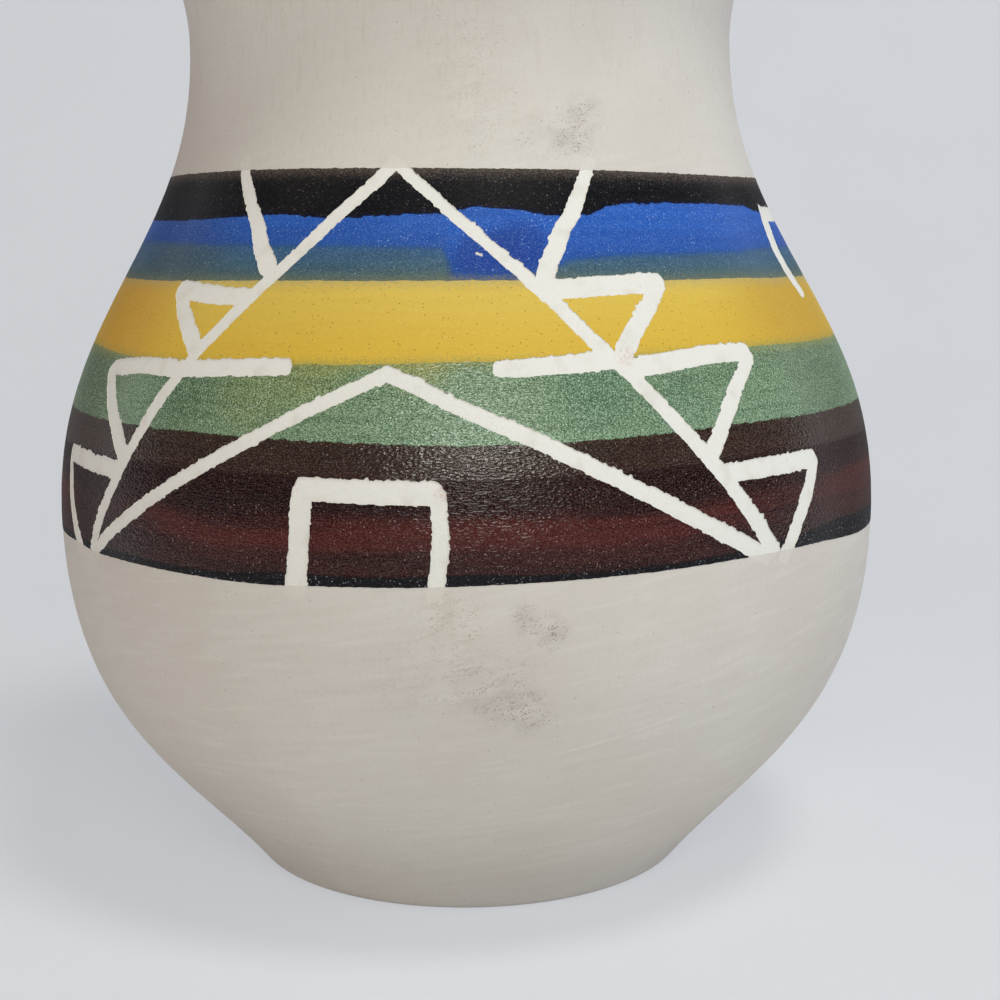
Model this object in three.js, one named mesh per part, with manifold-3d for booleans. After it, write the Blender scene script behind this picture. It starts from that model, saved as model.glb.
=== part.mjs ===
// A hand-decorated pottery vase: one fired clay body, a glaze lining that makes it hold water, and
// eight bands of colour round its belly. A drawing is scratched into the bands.
// Millimetres, +Z up. The origin is the centre of the flat face that the vase stands on, and the
// middle of the photographed side faces -Y.

import * as THREE from "three";
import { mergeVertices } from "three/addons/utils/BufferGeometryUtils.js";
import Module from "manifold-3d";

const wasm = await Module();
wasm.setup();

// The outside of the clay body
const vaseHeight = 122;
const footRadius = 27.3;
const footEdgeRound = 0.8;
const bellyRadius = 51;
const bellyHeight = 44.9;
const neckRadius = 33.1;
const neckHeight = 101.3;
const rimRadius = 40.5;

// Slopes in degrees up from level, where the wall leaves the foot and where it meets the rim
const footSlope = 52.5;
const rimSlope = 50;

// How far the outline runs on before it bends, as a share of the rise between its two ends
const footFullness = 0.38;
const underBellyFullness = 0.57;
const overBellyFullness = 0.44;
const underNeckFullness = 0.42;
const overNeckFullness = 0.45;
const underRimFullness = 0.3;

// The inside of the clay body
const wallThickness = 4.5;
const floorThickness = 6;
const floorCornerRound = 7;

// The glaze lining
const liningThickness = 0.4;
const liningBelowRim = 5;

// The bands of colour, from the bottom up
const bandsBottom = 43.8;
const bandThickness = 0.4;
const darkEdgeRise = 1.4;
const maroonRise = 9.2;
const brownRise = 3.8;
const greenRise = 7.5;
const yellowRise = 8;
const tealRise = 3.7;
const blueRise = 3.3;
const blackRise = 4.6;
const bands = [
  { name: "dark_edge_band", rise: darkEdgeRise, colour: "#262223" },
  { name: "maroon_band", rise: maroonRise, colour: "#452d2d" },
  { name: "brown_band", rise: brownRise, colour: "#54463f" },
  { name: "green_band", rise: greenRise, colour: "#74906e" },
  { name: "yellow_band", rise: yellowRise, colour: "#d5b346" },
  { name: "teal_band", rise: tealRise, colour: "#41596b" },
  { name: "blue_band", rise: blueRise, colour: "#325fb2" },
  { name: "black_band", rise: blackRise, colour: "#1e1d20" },
];

// The scratched drawing
const scratchWidth = 1.8;
const bandLeftUnderScratch = 0.2;
const tentTurns = [0, 180];
const sideDoorwayTurns = [0, 180];

// Its lines, as points of [degrees round from the front, percent of the way up the bands]
const tentLines = [
  // The tall tent
  [[-11.4, 100], [-29.5, 75], [-39.5, 55], [-47.8, 25], [-56.3, 0]],
  [[-11.4, 100], [10, 72], [20.4, 53], [30.3, 28], [38.9, 2]],
  // The two straps above it
  [[-41.5, 100], [-30.4, 74]],
  [[21.8, 100], [11.9, 73]],
  // The three flags down its left side
  [[-32, 70], [-46.8, 69], [-38.4, 55]],
  [[-23.6, 52], [-57.5, 48], [-48.2, 24]],
  [[-48.3, 24.5], [-66.5, 23], [-58, 0]],
  // The three flags down its right side
  [[12, 71], [28.5, 71.5], [20.4, 54]],
  [[3.3, 51.5], [18.6, 52.5], [41.1, 53], [31.2, 29]],
  [[32.6, 24.5], [49.4, 25], [43.1, 3]],
  // The low tent inside it
  [[-9.7, 50.5], [-32, 22], [-55, 1]],
  [[-9.7, 50.5], [6.8, 36], [23.8, 18], [38.4, 3]],
  // The doorway
  [[-20, 0], [-20, 22.5], [-3.3, 23], [-3.4, 0]],
];
const sideDoorwayLines = [
  [[67, 64], [67, 89], [88, 89], [88, 64]],
];

// Fineness of the faceting
const sides = 44;
const wallStep = 8;
const insideStep = 12;
const lipOutsideSteps = 4;
const lipInsideSteps = 2;
const cornerSteps = 3;
const scratchStep = 6;

const degrees = THREE.MathUtils.degToRad;
const point = (radius, z) => new THREE.Vector2(radius, z);

// A point that lies a distance along a slope from another
function along(start, slope, distance) {
  return point(
    start.x + distance * Math.cos(degrees(slope)),
    start.y + distance * Math.sin(degrees(slope)),
  );
}

// The outside of the wall in three stretches, each upright where two of them join
const lipRadius = wallThickness / 2;
const lipCentre = point(rimRadius - lipRadius, vaseHeight - lipRadius);
const footEdge = point(footRadius, 0);
const belly = point(bellyRadius, bellyHeight);
const neck = point(neckRadius, neckHeight);
const rimEdge = along(lipCentre, rimSlope - 90, lipRadius);
const bowlRise = belly.y - footEdge.y;
const shoulderRise = neck.y - belly.y;
const flareRise = rimEdge.y - neck.y;

const bowl = new THREE.CubicBezierCurve(
  footEdge,
  along(footEdge, footSlope, footFullness * bowlRise),
  along(belly, -90, underBellyFullness * bowlRise),
  belly,
);
const shoulder = new THREE.CubicBezierCurve(
  belly,
  along(belly, 90, overBellyFullness * shoulderRise),
  along(neck, -90, underNeckFullness * shoulderRise),
  neck,
);
const flare = new THREE.CubicBezierCurve(
  neck,
  along(neck, 90, overNeckFullness * flareRise),
  along(rimEdge, rimSlope + 180, underRimFullness * flareRise),
  rimEdge,
);

// The outside of the wall at a height: its radius, and its normal in the plane of the outline
function wallAt(z) {
  const stretch = z < belly.y ? bowl : z < neck.y ? shoulder : flare;
  let low = 0;
  let high = 1;
  for (let halving = 0; halving < 40; halving += 1) {
    const middle = (low + high) / 2;
    if (stretch.getPoint(middle).y < z) low = middle;
    else high = middle;
  }
  const tangent = stretch.getTangent(high);
  return { radius: stretch.getPoint(high).x, normal: point(tangent.y, -tangent.x) };
}

// The outline pushed in from the outside of the wall by a depth, at one height of the outside
function wallPoint(z, depth) {
  const { radius, normal } = wallAt(z);
  return point(radius - depth * normal.x, z - depth * normal.y);
}

// Heights from low to high in even steps no longer than a step
function heights(low, high, step) {
  const count = Math.max(1, Math.ceil((high - low) / step - 1e-6));
  return Array.from({ length: count + 1 }, (_, i) => low + ((high - low) * i) / count);
}

// Where each band starts and ends, and the heights at which its facets meet
let bandTop = bandsBottom;
const bandRows = bands.map(({ rise }) => {
  const rows = heights(bandTop, bandTop + rise, wallStep);
  bandTop += rise;
  return rows;
});
const bandsRise = bandTop - bandsBottom;

// A closed profile turned round the Z axis
function turned(profile) {
  return new THREE.LatheGeometry(profile, sides).rotateX(Math.PI / 2);
}

// A round corner between two points, drawn towards the sharp corner
function roundCorner(from, corner, to) {
  return new THREE.QuadraticBezierCurve(from, corner, to).getPoints(cornerSteps);
}

// The height of the outside at which the wall pushed in by a depth is level with a given height
function outsideLevelWith(z, depth) {
  let low = footEdge.y;
  let high = belly.y;
  for (let halving = 0; halving < 40; halving += 1) {
    const middle = (low + high) / 2;
    if (wallPoint(middle, depth).y < z) low = middle;
    else high = middle;
  }
  return high;
}

// The inside of a vessel with a depth of wall, from the axis over the floor and up the wall
function insideProfile(depth, floorHeight, topOutside) {
  const wallStart = outsideLevelWith(floorHeight + floorCornerRound, depth);
  const start = wallPoint(wallStart, depth);
  const corner = point(start.x - floorCornerRound / Math.tan(degrees(footSlope)), floorHeight);
  const floorEnd = point(corner.x - floorCornerRound, floorHeight);
  return [
    point(0, floorHeight),
    ...roundCorner(floorEnd, corner, start),
    ...heights(wallStart, topOutside, insideStep).slice(1).map((z) => wallPoint(z, depth)),
  ];
}

const liningTop = rimEdge.y - liningBelowRim;
const claySurface = insideProfile(wallThickness, floorThickness, liningTop);

function clayBody() {
  const wallStart = wallAt(footEdgeRound);
  const foot = roundCorner(
    point(footRadius - footEdgeRound, 0),
    footEdge,
    point(wallStart.radius, footEdgeRound),
  );
  const outsideHeights = [
    ...heights(footEdgeRound, bandsBottom, wallStep),
    ...bandRows.flatMap((rows) => rows.slice(1)),
    ...heights(bandTop, rimEdge.y, wallStep).slice(1),
  ].slice(1);
  const lipArc = (from, to, count) =>
    heights(from, to, (to - from) / count).slice(1).map((turn) => along(lipCentre, turn, lipRadius));
  const inside = [...claySurface, wallPoint(rimEdge.y, wallThickness)].reverse();
  return turned([
    point(0, 0),
    ...foot,
    ...outsideHeights.map((z) => wallPoint(z, 0)),
    ...lipArc(rimSlope - 90, 90, lipOutsideSteps),
    ...lipArc(90, rimSlope + 90, lipInsideSteps).slice(0, -1),
    ...inside,
  ]);
}

function glazeLining() {
  const depth = wallThickness + liningThickness;
  const glazeSurface = insideProfile(depth, floorThickness + liningThickness, liningTop);
  return turned([...claySurface, ...glazeSurface.reverse()]);
}

function bandRing(rows) {
  const inner = rows.map((z) => wallPoint(z, 0));
  const outer = rows.map((z) => {
    const { radius, normal } = wallAt(z);
    return point(radius + bandThickness / normal.x, z);
  });
  return turned([...outer, ...inner.reverse(), outer[0]]);
}

// A closed geometry as a solid, and a solid as a geometry
function solidOf(geometry) {
  geometry.deleteAttribute("normal");
  geometry.deleteAttribute("uv");
  const merged = mergeVertices(geometry, 1e-4);
  return new wasm.Manifold(
    new wasm.Mesh({
      numProp: 3,
      vertProperties: merged.attributes.position.array,
      triVerts: new Uint32Array(merged.index.array),
    }),
  );
}

function geometryOf(solid) {
  const { vertProperties, triVerts } = solid.getMesh();
  return new THREE.BufferGeometry()
    .setAttribute("position", new THREE.BufferAttribute(vertProperties, 3))
    .setIndex(new THREE.BufferAttribute(triVerts, 1))
    .toNonIndexed();
}

// On the clay at an angle round from the front and a height: the place, the level way out from the
// axis, the normal, and how far the level way out runs through a coat for each unit of its thickness
function clayFrame(angle, z) {
  const { radius, normal } = wallAt(z);
  const out = new THREE.Vector3(Math.sin(degrees(angle)), -Math.cos(degrees(angle)), 0);
  return {
    place: out.clone().multiplyScalar(radius).setZ(z),
    out,
    normal: out.clone().multiplyScalar(normal.x).setZ(normal.y),
    levelPerThickness: 1 / normal.x,
  };
}

// The tool's sweep along one straight run of a line: a box bent to the curve of the wall
function scratchRun(start, end, turn) {
  const heightOf = (percent) => bandsBottom + (bandsRise * percent) / 100;
  const from = { angle: start[0] + turn, z: heightOf(start[1]) };
  const to = { angle: end[0] + turn, z: heightOf(end[1]) };
  const frameAt = (share) =>
    clayFrame(from.angle + (to.angle - from.angle) * share, from.z + (to.z - from.z) * share);
  const length = frameAt(0).place.distanceTo(frameAt(1).place);
  const steps = Math.max(1, Math.ceil(length / scratchStep));
  const overrun = scratchWidth / 2 / length;
  const box = new THREE.BoxGeometry(scratchWidth, 1, 1, 1, 1, steps);
  const corners = box.attributes.position;
  for (let i = 0; i < corners.count; i += 1) {
    const share = (corners.getZ(i) + 0.5) * (1 + 2 * overrun) - overrun;
    const { place, out, normal, levelPerThickness } = frameAt(share);
    const ahead = frameAt(share + 0.01).place.sub(place).normalize();
    const aside = new THREE.Vector3().crossVectors(normal, ahead);
    const lift = corners.getY(i) < 0 ? bandLeftUnderScratch : bandThickness + scratchWidth;
    place.addScaledVector(aside, corners.getX(i)).addScaledVector(out, lift * levelPerThickness);
    corners.setXYZ(i, place.x, place.y, place.z);
  }
  return solidOf(box);
}

function scratchedDrawing() {
  const runs = [];
  const addLines = (lines, turns) => {
    for (const turn of turns)
      for (const line of lines)
        line.slice(1).forEach((end, i) => runs.push(scratchRun(line[i], end, turn)));
  };
  addLines(tentLines, tentTurns);
  addLines(sideDoorwayLines, sideDoorwayTurns);
  return runs.reduce((all, run) => all.add(run));
}

function mesh(name, geometry, colour, roughness) {
  const material = new THREE.MeshStandardMaterial({ color: colour, roughness, metalness: 0 });
  const made = new THREE.Mesh(geometry, material);
  made.name = name;
  return made;
}

const vase = new THREE.Group();
vase.name = "pottery_vase";
vase.add(mesh("clay_body", clayBody(), "#ccc5ba", 0.85));
vase.add(mesh("glaze_lining", glazeLining(), "#d8d0c0", 0.2));

const drawing = scratchedDrawing();
bands.forEach(({ name, colour }, i) => {
  const scratched = solidOf(bandRing(bandRows[i])).subtract(drawing);
  vase.add(mesh(name, geometryOf(scratched), colour, 0.6));
});

export default vase;
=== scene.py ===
"""The look of a hand-decorated pottery vase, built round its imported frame.

The classes below work in millimetres, and a length becomes metres where a mesh, a lamp or the camera
is made. Angles go round the vase in degrees from the middle of its front, towards the right hand.
"""

from __future__ import annotations

import logging
import math
from dataclasses import dataclass, field
from enum import Enum
from functools import reduce
from typing import Sequence

import bpy
import numpy as np
from mathutils import Euler, Matrix, Vector
from mathutils.geometry import delaunay_2d_cdt
from mathutils.kdtree import KDTree


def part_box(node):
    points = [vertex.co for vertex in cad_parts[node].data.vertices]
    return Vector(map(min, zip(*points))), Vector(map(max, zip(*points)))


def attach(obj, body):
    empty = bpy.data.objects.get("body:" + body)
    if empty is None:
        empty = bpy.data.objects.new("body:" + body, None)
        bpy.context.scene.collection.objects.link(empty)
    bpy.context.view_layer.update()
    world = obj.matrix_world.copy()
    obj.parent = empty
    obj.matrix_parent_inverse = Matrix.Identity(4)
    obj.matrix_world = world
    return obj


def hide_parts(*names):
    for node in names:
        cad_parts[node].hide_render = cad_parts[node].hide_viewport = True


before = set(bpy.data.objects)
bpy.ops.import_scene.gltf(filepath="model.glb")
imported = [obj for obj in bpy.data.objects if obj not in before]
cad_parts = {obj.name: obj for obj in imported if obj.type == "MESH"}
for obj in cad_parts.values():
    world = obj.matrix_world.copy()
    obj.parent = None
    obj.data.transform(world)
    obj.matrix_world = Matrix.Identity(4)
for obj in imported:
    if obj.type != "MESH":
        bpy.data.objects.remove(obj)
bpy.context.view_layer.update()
MM = 0.001

log = logging.getLogger("pottery_vase")

Colour = tuple[float, float, float]
Place = tuple[float, float]
Socket = bpy.types.NodeSocket
Input = float | Colour | Socket


def tone(red: float, green: float, blue: float) -> Colour:
    """Turns a colour written from 0 to 255 into the linear values that a shader takes.

    Args:
        red: The red part, as a screen shows it.
        green: The green part.
        blue: The blue part.

    Returns:
        The colour from 0 to 1, linear.
    """

    def linear(part: float) -> float:
        """Returns one part of the colour, linear."""
        share = part / 255
        return share / 12.92 if share <= 0.04045 else ((share + 0.055) / 1.055) ** 2.4

    return linear(red), linear(green), linear(blue)


def ease(share: np.ndarray) -> np.ndarray:
    """Returns a share that starts and ends gently, kept between 0 and 1."""
    held = np.clip(share, 0.0, 1.0)
    return held * held * (3 - 2 * held)


def cubic(start: Place, first: Place, second: Place, end: Place) -> np.ndarray:
    """Draws a cubic curve.

    Args:
        start: Where it starts.
        first: The handle of the start.
        second: The handle of the end.
        end: Where it ends.

    Returns:
        Many points of it, one row each.
    """
    share = np.linspace(0, 1, 600)[:, None]
    rest = 1 - share
    near = rest**3 * np.array(start) + 3 * rest**2 * share * np.array(first)
    return near + 3 * rest * share**2 * np.array(second) + share**3 * np.array(end)


def corner(start: Place, sharp: Place, end: Place, count: int = 8) -> list[Place]:
    """Rounds a corner between two points.

    Args:
        start: Where the round starts.
        sharp: The sharp corner that it is drawn towards.
        end: Where the round ends.
        count: How many steps it takes.

    Returns:
        The points of the round, its two ends among them.
    """
    share = np.linspace(0, 1, count + 1)[:, None]
    rest = 1 - share
    bend = rest**2 * np.array(start) + 2 * rest * share * np.array(sharp) + share**2 * np.array(end)
    return [tuple(point) for point in bend]


def steps(low: float, high: float, step: float) -> np.ndarray:
    """Returns even places from low to high, no further apart than a step."""
    return np.linspace(low, high, max(1, math.ceil(abs(high - low) / step - 1e-6)) + 1)


@dataclass(frozen=True)
class Wave:
    """One slow swell of the hand-turned wall.

    Attributes:
        rise: Its height in mm.
        turns: How many times it comes in one turn of the vase.
        climb: How fast it changes up the wall, in radians per mm.
        start: Where it starts, in radians.
    """

    rise: float
    turns: int
    climb: float
    start: float


@dataclass
class VaseForm:
    """The turned form of the vase, and every place on or in its wall.

    Attributes:
        height: From the foot to the top of the rim.
        belly_radius: At the widest place.
        foot_radius: Of the flat foot.
        foot_round: Of the foot's edge.
        belly_height: Of the widest place.
        neck_radius: At the narrowest place of the neck.
        neck_height: Of that place.
        rim_radius: Over the outside of the rim.
        foot_slope: Of the wall where it leaves the foot, up from level.
        rim_slope: Of the wall where it meets the rim.
        bowl_fullness: How far the outline runs on at the foot and under the belly before it bends.
        shoulder_fullness: The same over the belly and under the neck.
        flare_fullness: The same over the neck and under the rim.
        wall: Thickness of the clay wall.
        floor: Thickness of the clay floor.
        floor_round: Of the inside corner between floor and wall.
        lean: How far the neck leans to the left, for each mm above the shoulder.
        lean_from: The height from which it leans.
        calm: How near the foot or the rim, and how near the axis, the swells fade out.
        lining_gap: How far under the end of the wall the glaze of the inside ends.
        floor_step: How far apart the rings of the floor are.
        waves: The swells of the wall.
    """

    height: float
    belly_radius: float
    foot_radius: float = 27.3
    foot_round: float = 0.8
    belly_height: float = 44.9
    neck_radius: float = 33.1
    neck_height: float = 101.3
    rim_radius: float = 40.5
    foot_slope: float = 52.5
    rim_slope: float = 50.0
    bowl_fullness: Place = (0.38, 0.57)
    shoulder_fullness: Place = (0.44, 0.42)
    flare_fullness: Place = (0.45, 0.3)
    wall: float = 4.5
    floor: float = 6.0
    floor_round: float = 7.0
    lean: float = 0.011
    lean_from: float = 60.0
    calm: Place = (8.0, 10.0)
    lining_gap: float = 5.0
    floor_step: float = 5.0
    waves: tuple[Wave, ...] = (
        Wave(0.05, 3, 0.05, 0.4),
        Wave(0.035, 5, -0.09, 2.1),
        Wave(0.02, 9, 0.17, 4.0),
        Wave(0.01, 14, -0.31, 1.2),
        Wave(0.008, 0, 1.7, 0.3),
    )
    outline: np.ndarray = field(init=False)

    def __post_init__(self) -> None:
        """Draws the outside of the wall in three stretches, each upright where two of them join."""
        foot = (self.foot_radius, 0.0)
        belly = (self.belly_radius, self.belly_height)
        neck = (self.neck_radius, self.neck_height)
        edge = self.wall_end
        bowl, shoulder, flare = belly[1], neck[1] - belly[1], edge[1] - neck[1]
        out, under_belly = self.bowl_fullness[0] * bowl, self.bowl_fullness[1] * bowl
        over_belly, under_neck = (share * shoulder for share in self.shoulder_fullness)
        over_neck, under_rim = (share * flare for share in self.flare_fullness)
        slope, rim = math.radians(self.foot_slope), math.radians(self.rim_slope)
        first = (foot[0] + out * math.cos(slope), foot[1] + out * math.sin(slope))
        last = (edge[0] - under_rim * math.cos(rim), edge[1] - under_rim * math.sin(rim))
        stretches = [
            cubic(foot, first, (belly[0], belly[1] - under_belly), belly),
            cubic(belly, (belly[0], belly[1] + over_belly), (neck[0], neck[1] - under_neck), neck),
            cubic(neck, (neck[0], neck[1] + over_neck), last, edge),
        ]
        self.outline = np.vstack([stretches[0], stretches[1][1:], stretches[2][1:]])

    @property
    def lip_radius(self) -> float:
        """Returns the radius of the round lip."""
        return self.wall / 2

    @property
    def wall_end(self) -> Place:
        """Returns the radius and height where the outside of the wall meets the lip."""
        return self.lip_point(self.rim_slope - 90)

    @property
    def lining_top(self) -> float:
        """Returns the height up to which the glaze lines the inside."""
        return self.wall_end[1] - self.lining_gap

    def lip_point(self, turn: float) -> Place:
        """Returns the radius and height of a place on the lip, at a turn in degrees up from level."""
        centre = (self.rim_radius - self.lip_radius, self.height - self.lip_radius)
        way = math.radians(turn)
        return (
            centre[0] + self.lip_radius * math.cos(way),
            centre[1] + self.lip_radius * math.sin(way),
        )

    def wall_at(self, z: np.ndarray) -> tuple[np.ndarray, np.ndarray, np.ndarray]:
        """Finds the outside of the wall.

        Args:
            z: Heights.

        Returns:
            The radius at each height, and how far the wall's normal points out and up there.
        """
        radii, heights = self.outline[:, 0], self.outline[:, 1]
        slopes = np.gradient(radii, heights)
        radius, slope = np.interp(z, heights, radii), np.interp(z, heights, slopes)
        size = np.sqrt(1 + slope**2)
        return radius, 1 / size, -slope / size

    def wall_point(self, z: float, depth: float) -> Place:
        """Returns the radius and height of the place that lies a depth under the outside at a height."""
        radius, out, up = self.wall_at(np.array([z]))
        return float(radius[0] - depth * out[0]), float(z - depth * up[0])

    def inside(self, depth: float, floor: float, top: float, step: float) -> list[Place]:
        """Draws the inside of a vessel whose wall has a depth.

        Args:
            depth: The wall's thickness.
            floor: The height of its floor.
            top: The outside height at which it ends.
            step: How far apart its points may be.

        Returns:
            The profile from the axis over the floor and up the wall.
        """
        outside = np.linspace(0, self.belly_height, 400)
        levels = [self.wall_point(z, depth)[1] for z in outside]
        start_height = float(np.interp(floor + self.floor_round, levels, outside))
        start = self.wall_point(start_height, depth)
        run = self.floor_round / math.tan(math.radians(self.foot_slope))
        sharp = (start[0] - run, floor)
        flat_end = sharp[0] - self.floor_round
        flat = [(radius, floor) for radius in steps(0.0, flat_end, self.floor_step)[:-1]]
        wall = [self.wall_point(z, depth) for z in steps(start_height, top, step)[1:]]
        return flat + corner((flat_end, floor), sharp, start) + wall

    def turn(self, angle: np.ndarray, radius: np.ndarray, z: np.ndarray) -> np.ndarray:
        """Turns places of the profile round the vase, with the swells and the lean of the real one.

        Args:
            angle: Degrees round from the middle of the front.
            radius: Distances from the axis.
            z: Heights.

        Returns:
            The places in mm, one row each.
        """
        way = np.radians(angle)
        swell = sum(
            wave.rise * np.sin(wave.turns * way + wave.climb * z + wave.start) for wave in self.waves
        )
        ends, middle = self.calm
        held = ease(z / ends) * ease((self.height - z) / ends) * ease(radius / middle)
        far = radius + swell * held
        lean = self.lean * np.clip(z - self.lean_from, 0, None)
        return np.column_stack([far * np.sin(way) - lean, -far * np.cos(way), z])

    def on_wall(self, angle: np.ndarray, z: np.ndarray, depth: np.ndarray | float) -> np.ndarray:
        """Returns places a depth under the outside of the wall, in mm, one row each."""
        radius, out, up = self.wall_at(z)
        return self.turn(angle, radius - depth * out, z - depth * up)

    def wall_normals(self, angle: np.ndarray, z: np.ndarray) -> np.ndarray:
        """Returns the directions straight out of the wall, one row each."""
        reach = 0.4
        across = self.on_wall(angle + reach, z, 0.0) - self.on_wall(angle - reach, z, 0.0)
        upward = self.on_wall(angle, z + reach, 0.0) - self.on_wall(angle, z - reach, 0.0)
        normals = np.cross(across, upward)
        return normals / np.linalg.norm(normals, axis=1, keepdims=True)

    def spot(self, angle: float, z: float) -> Vector:
        """Returns a place on the outside of the wall, in metres."""
        return Vector(self.on_wall(np.array([angle]), np.array([z]), 0.0)[0]) * MM


class MeshMaker:
    """Gathers the points, faces and finishes of one piece, and makes its mesh object.

    Args:
        name: The piece's name.
    """

    def __init__(self, name: str) -> None:
        """Starts with no points and no faces."""
        self.name = name
        self.blocks: list[np.ndarray] = []
        self.count = 0
        self.faces: list[tuple[int, ...]] = []
        self.slots: list[int] = []
        self.smooth: list[bool] = []
        self.given: dict[int, np.ndarray] = {}

    def points(self, places: np.ndarray) -> np.ndarray:
        """Adds points.

        Args:
            places: Their places in mm, one row each.

        Returns:
            Their numbers in the piece.
        """
        numbers = np.arange(self.count, self.count + len(places))
        self.blocks.append(places)
        self.count += len(places)
        return numbers

    def add(
        self,
        faces: np.ndarray,
        slot: int = 0,
        smooth: bool = True,
        normals: np.ndarray | None = None,
    ) -> None:
        """Adds faces.

        Args:
            faces: The numbers of their points, one row each.
            slot: Which of the piece's finishes they have.
            smooth: Whether they are shaded as part of a curved surface.
            normals: A direction for each corner of each face, where they are known.
        """
        start = len(self.faces)
        self.faces.extend(map(tuple, faces.tolist()))
        self.slots.extend([slot] * len(faces))
        self.smooth.extend([smooth] * len(faces))
        if normals is not None:
            self.given[start] = normals.reshape(-1, 3)

    def sleeves(self, rings: Sequence[np.ndarray]) -> None:
        """Joins each ring of points to the next one along the profile by a closed strip of faces."""
        for first, second in zip(rings[:-1], rings[1:]):
            self.add(np.column_stack([first, np.roll(first, -1), np.roll(second, -1), second]))

    def cap(self, centre: int, ring: np.ndarray, first: bool) -> None:
        """Closes a ring with a fan of triangles.

        Args:
            centre: The number of the point on the axis.
            ring: The numbers of the ring.
            first: Whether the centre comes before the ring along the profile.
        """
        after = np.roll(ring, -1)
        middle = np.full(len(ring), centre)
        self.add(np.column_stack([middle, after, ring] if first else [middle, ring, after]))

    def build(self, finishes: Sequence[bpy.types.Material]) -> bpy.types.Object:
        """Makes the object.

        Args:
            finishes: Its materials, in the order of their slots.

        Returns:
            The new object, linked to the scene.
        """
        mesh = bpy.data.meshes.new(self.name)
        mesh.from_pydata(np.vstack(self.blocks) * MM, [], self.faces)
        mesh.polygons.foreach_set("material_index", self.slots)
        mesh.polygons.foreach_set("use_smooth", self.smooth)
        for finish in finishes:
            mesh.materials.append(finish)
        normals = np.zeros(len(mesh.loops) * 3)
        mesh.corner_normals.foreach_get("vector", normals)
        normals = normals.reshape(-1, 3)
        for start, given in self.given.items():
            loop = mesh.polygons[start].loop_start
            normals[loop : loop + len(given)] = given
        mesh.normals_split_custom_set(normals)
        made = bpy.data.objects.new(self.name, mesh)
        bpy.context.scene.collection.objects.link(made)
        log.info("%s: %d faces", self.name, len(self.faces))
        return made


def open_sides(faces: np.ndarray) -> np.ndarray:
    """Finds the sides that only one triangle has.

    Args:
        faces: The numbers of the triangles' points, one row each.

    Returns:
        The two points of each such side, in the order in which its triangle has them.
    """
    sides = np.vstack([faces[:, [0, 1]], faces[:, [1, 2]], faces[:, [2, 0]]])
    wide = int(faces.max()) + 1
    forward = sides[:, 0] * wide + sides[:, 1]
    backward = sides[:, 1] * wide + sides[:, 0]
    return sides[~np.isin(forward, backward)]


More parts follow.
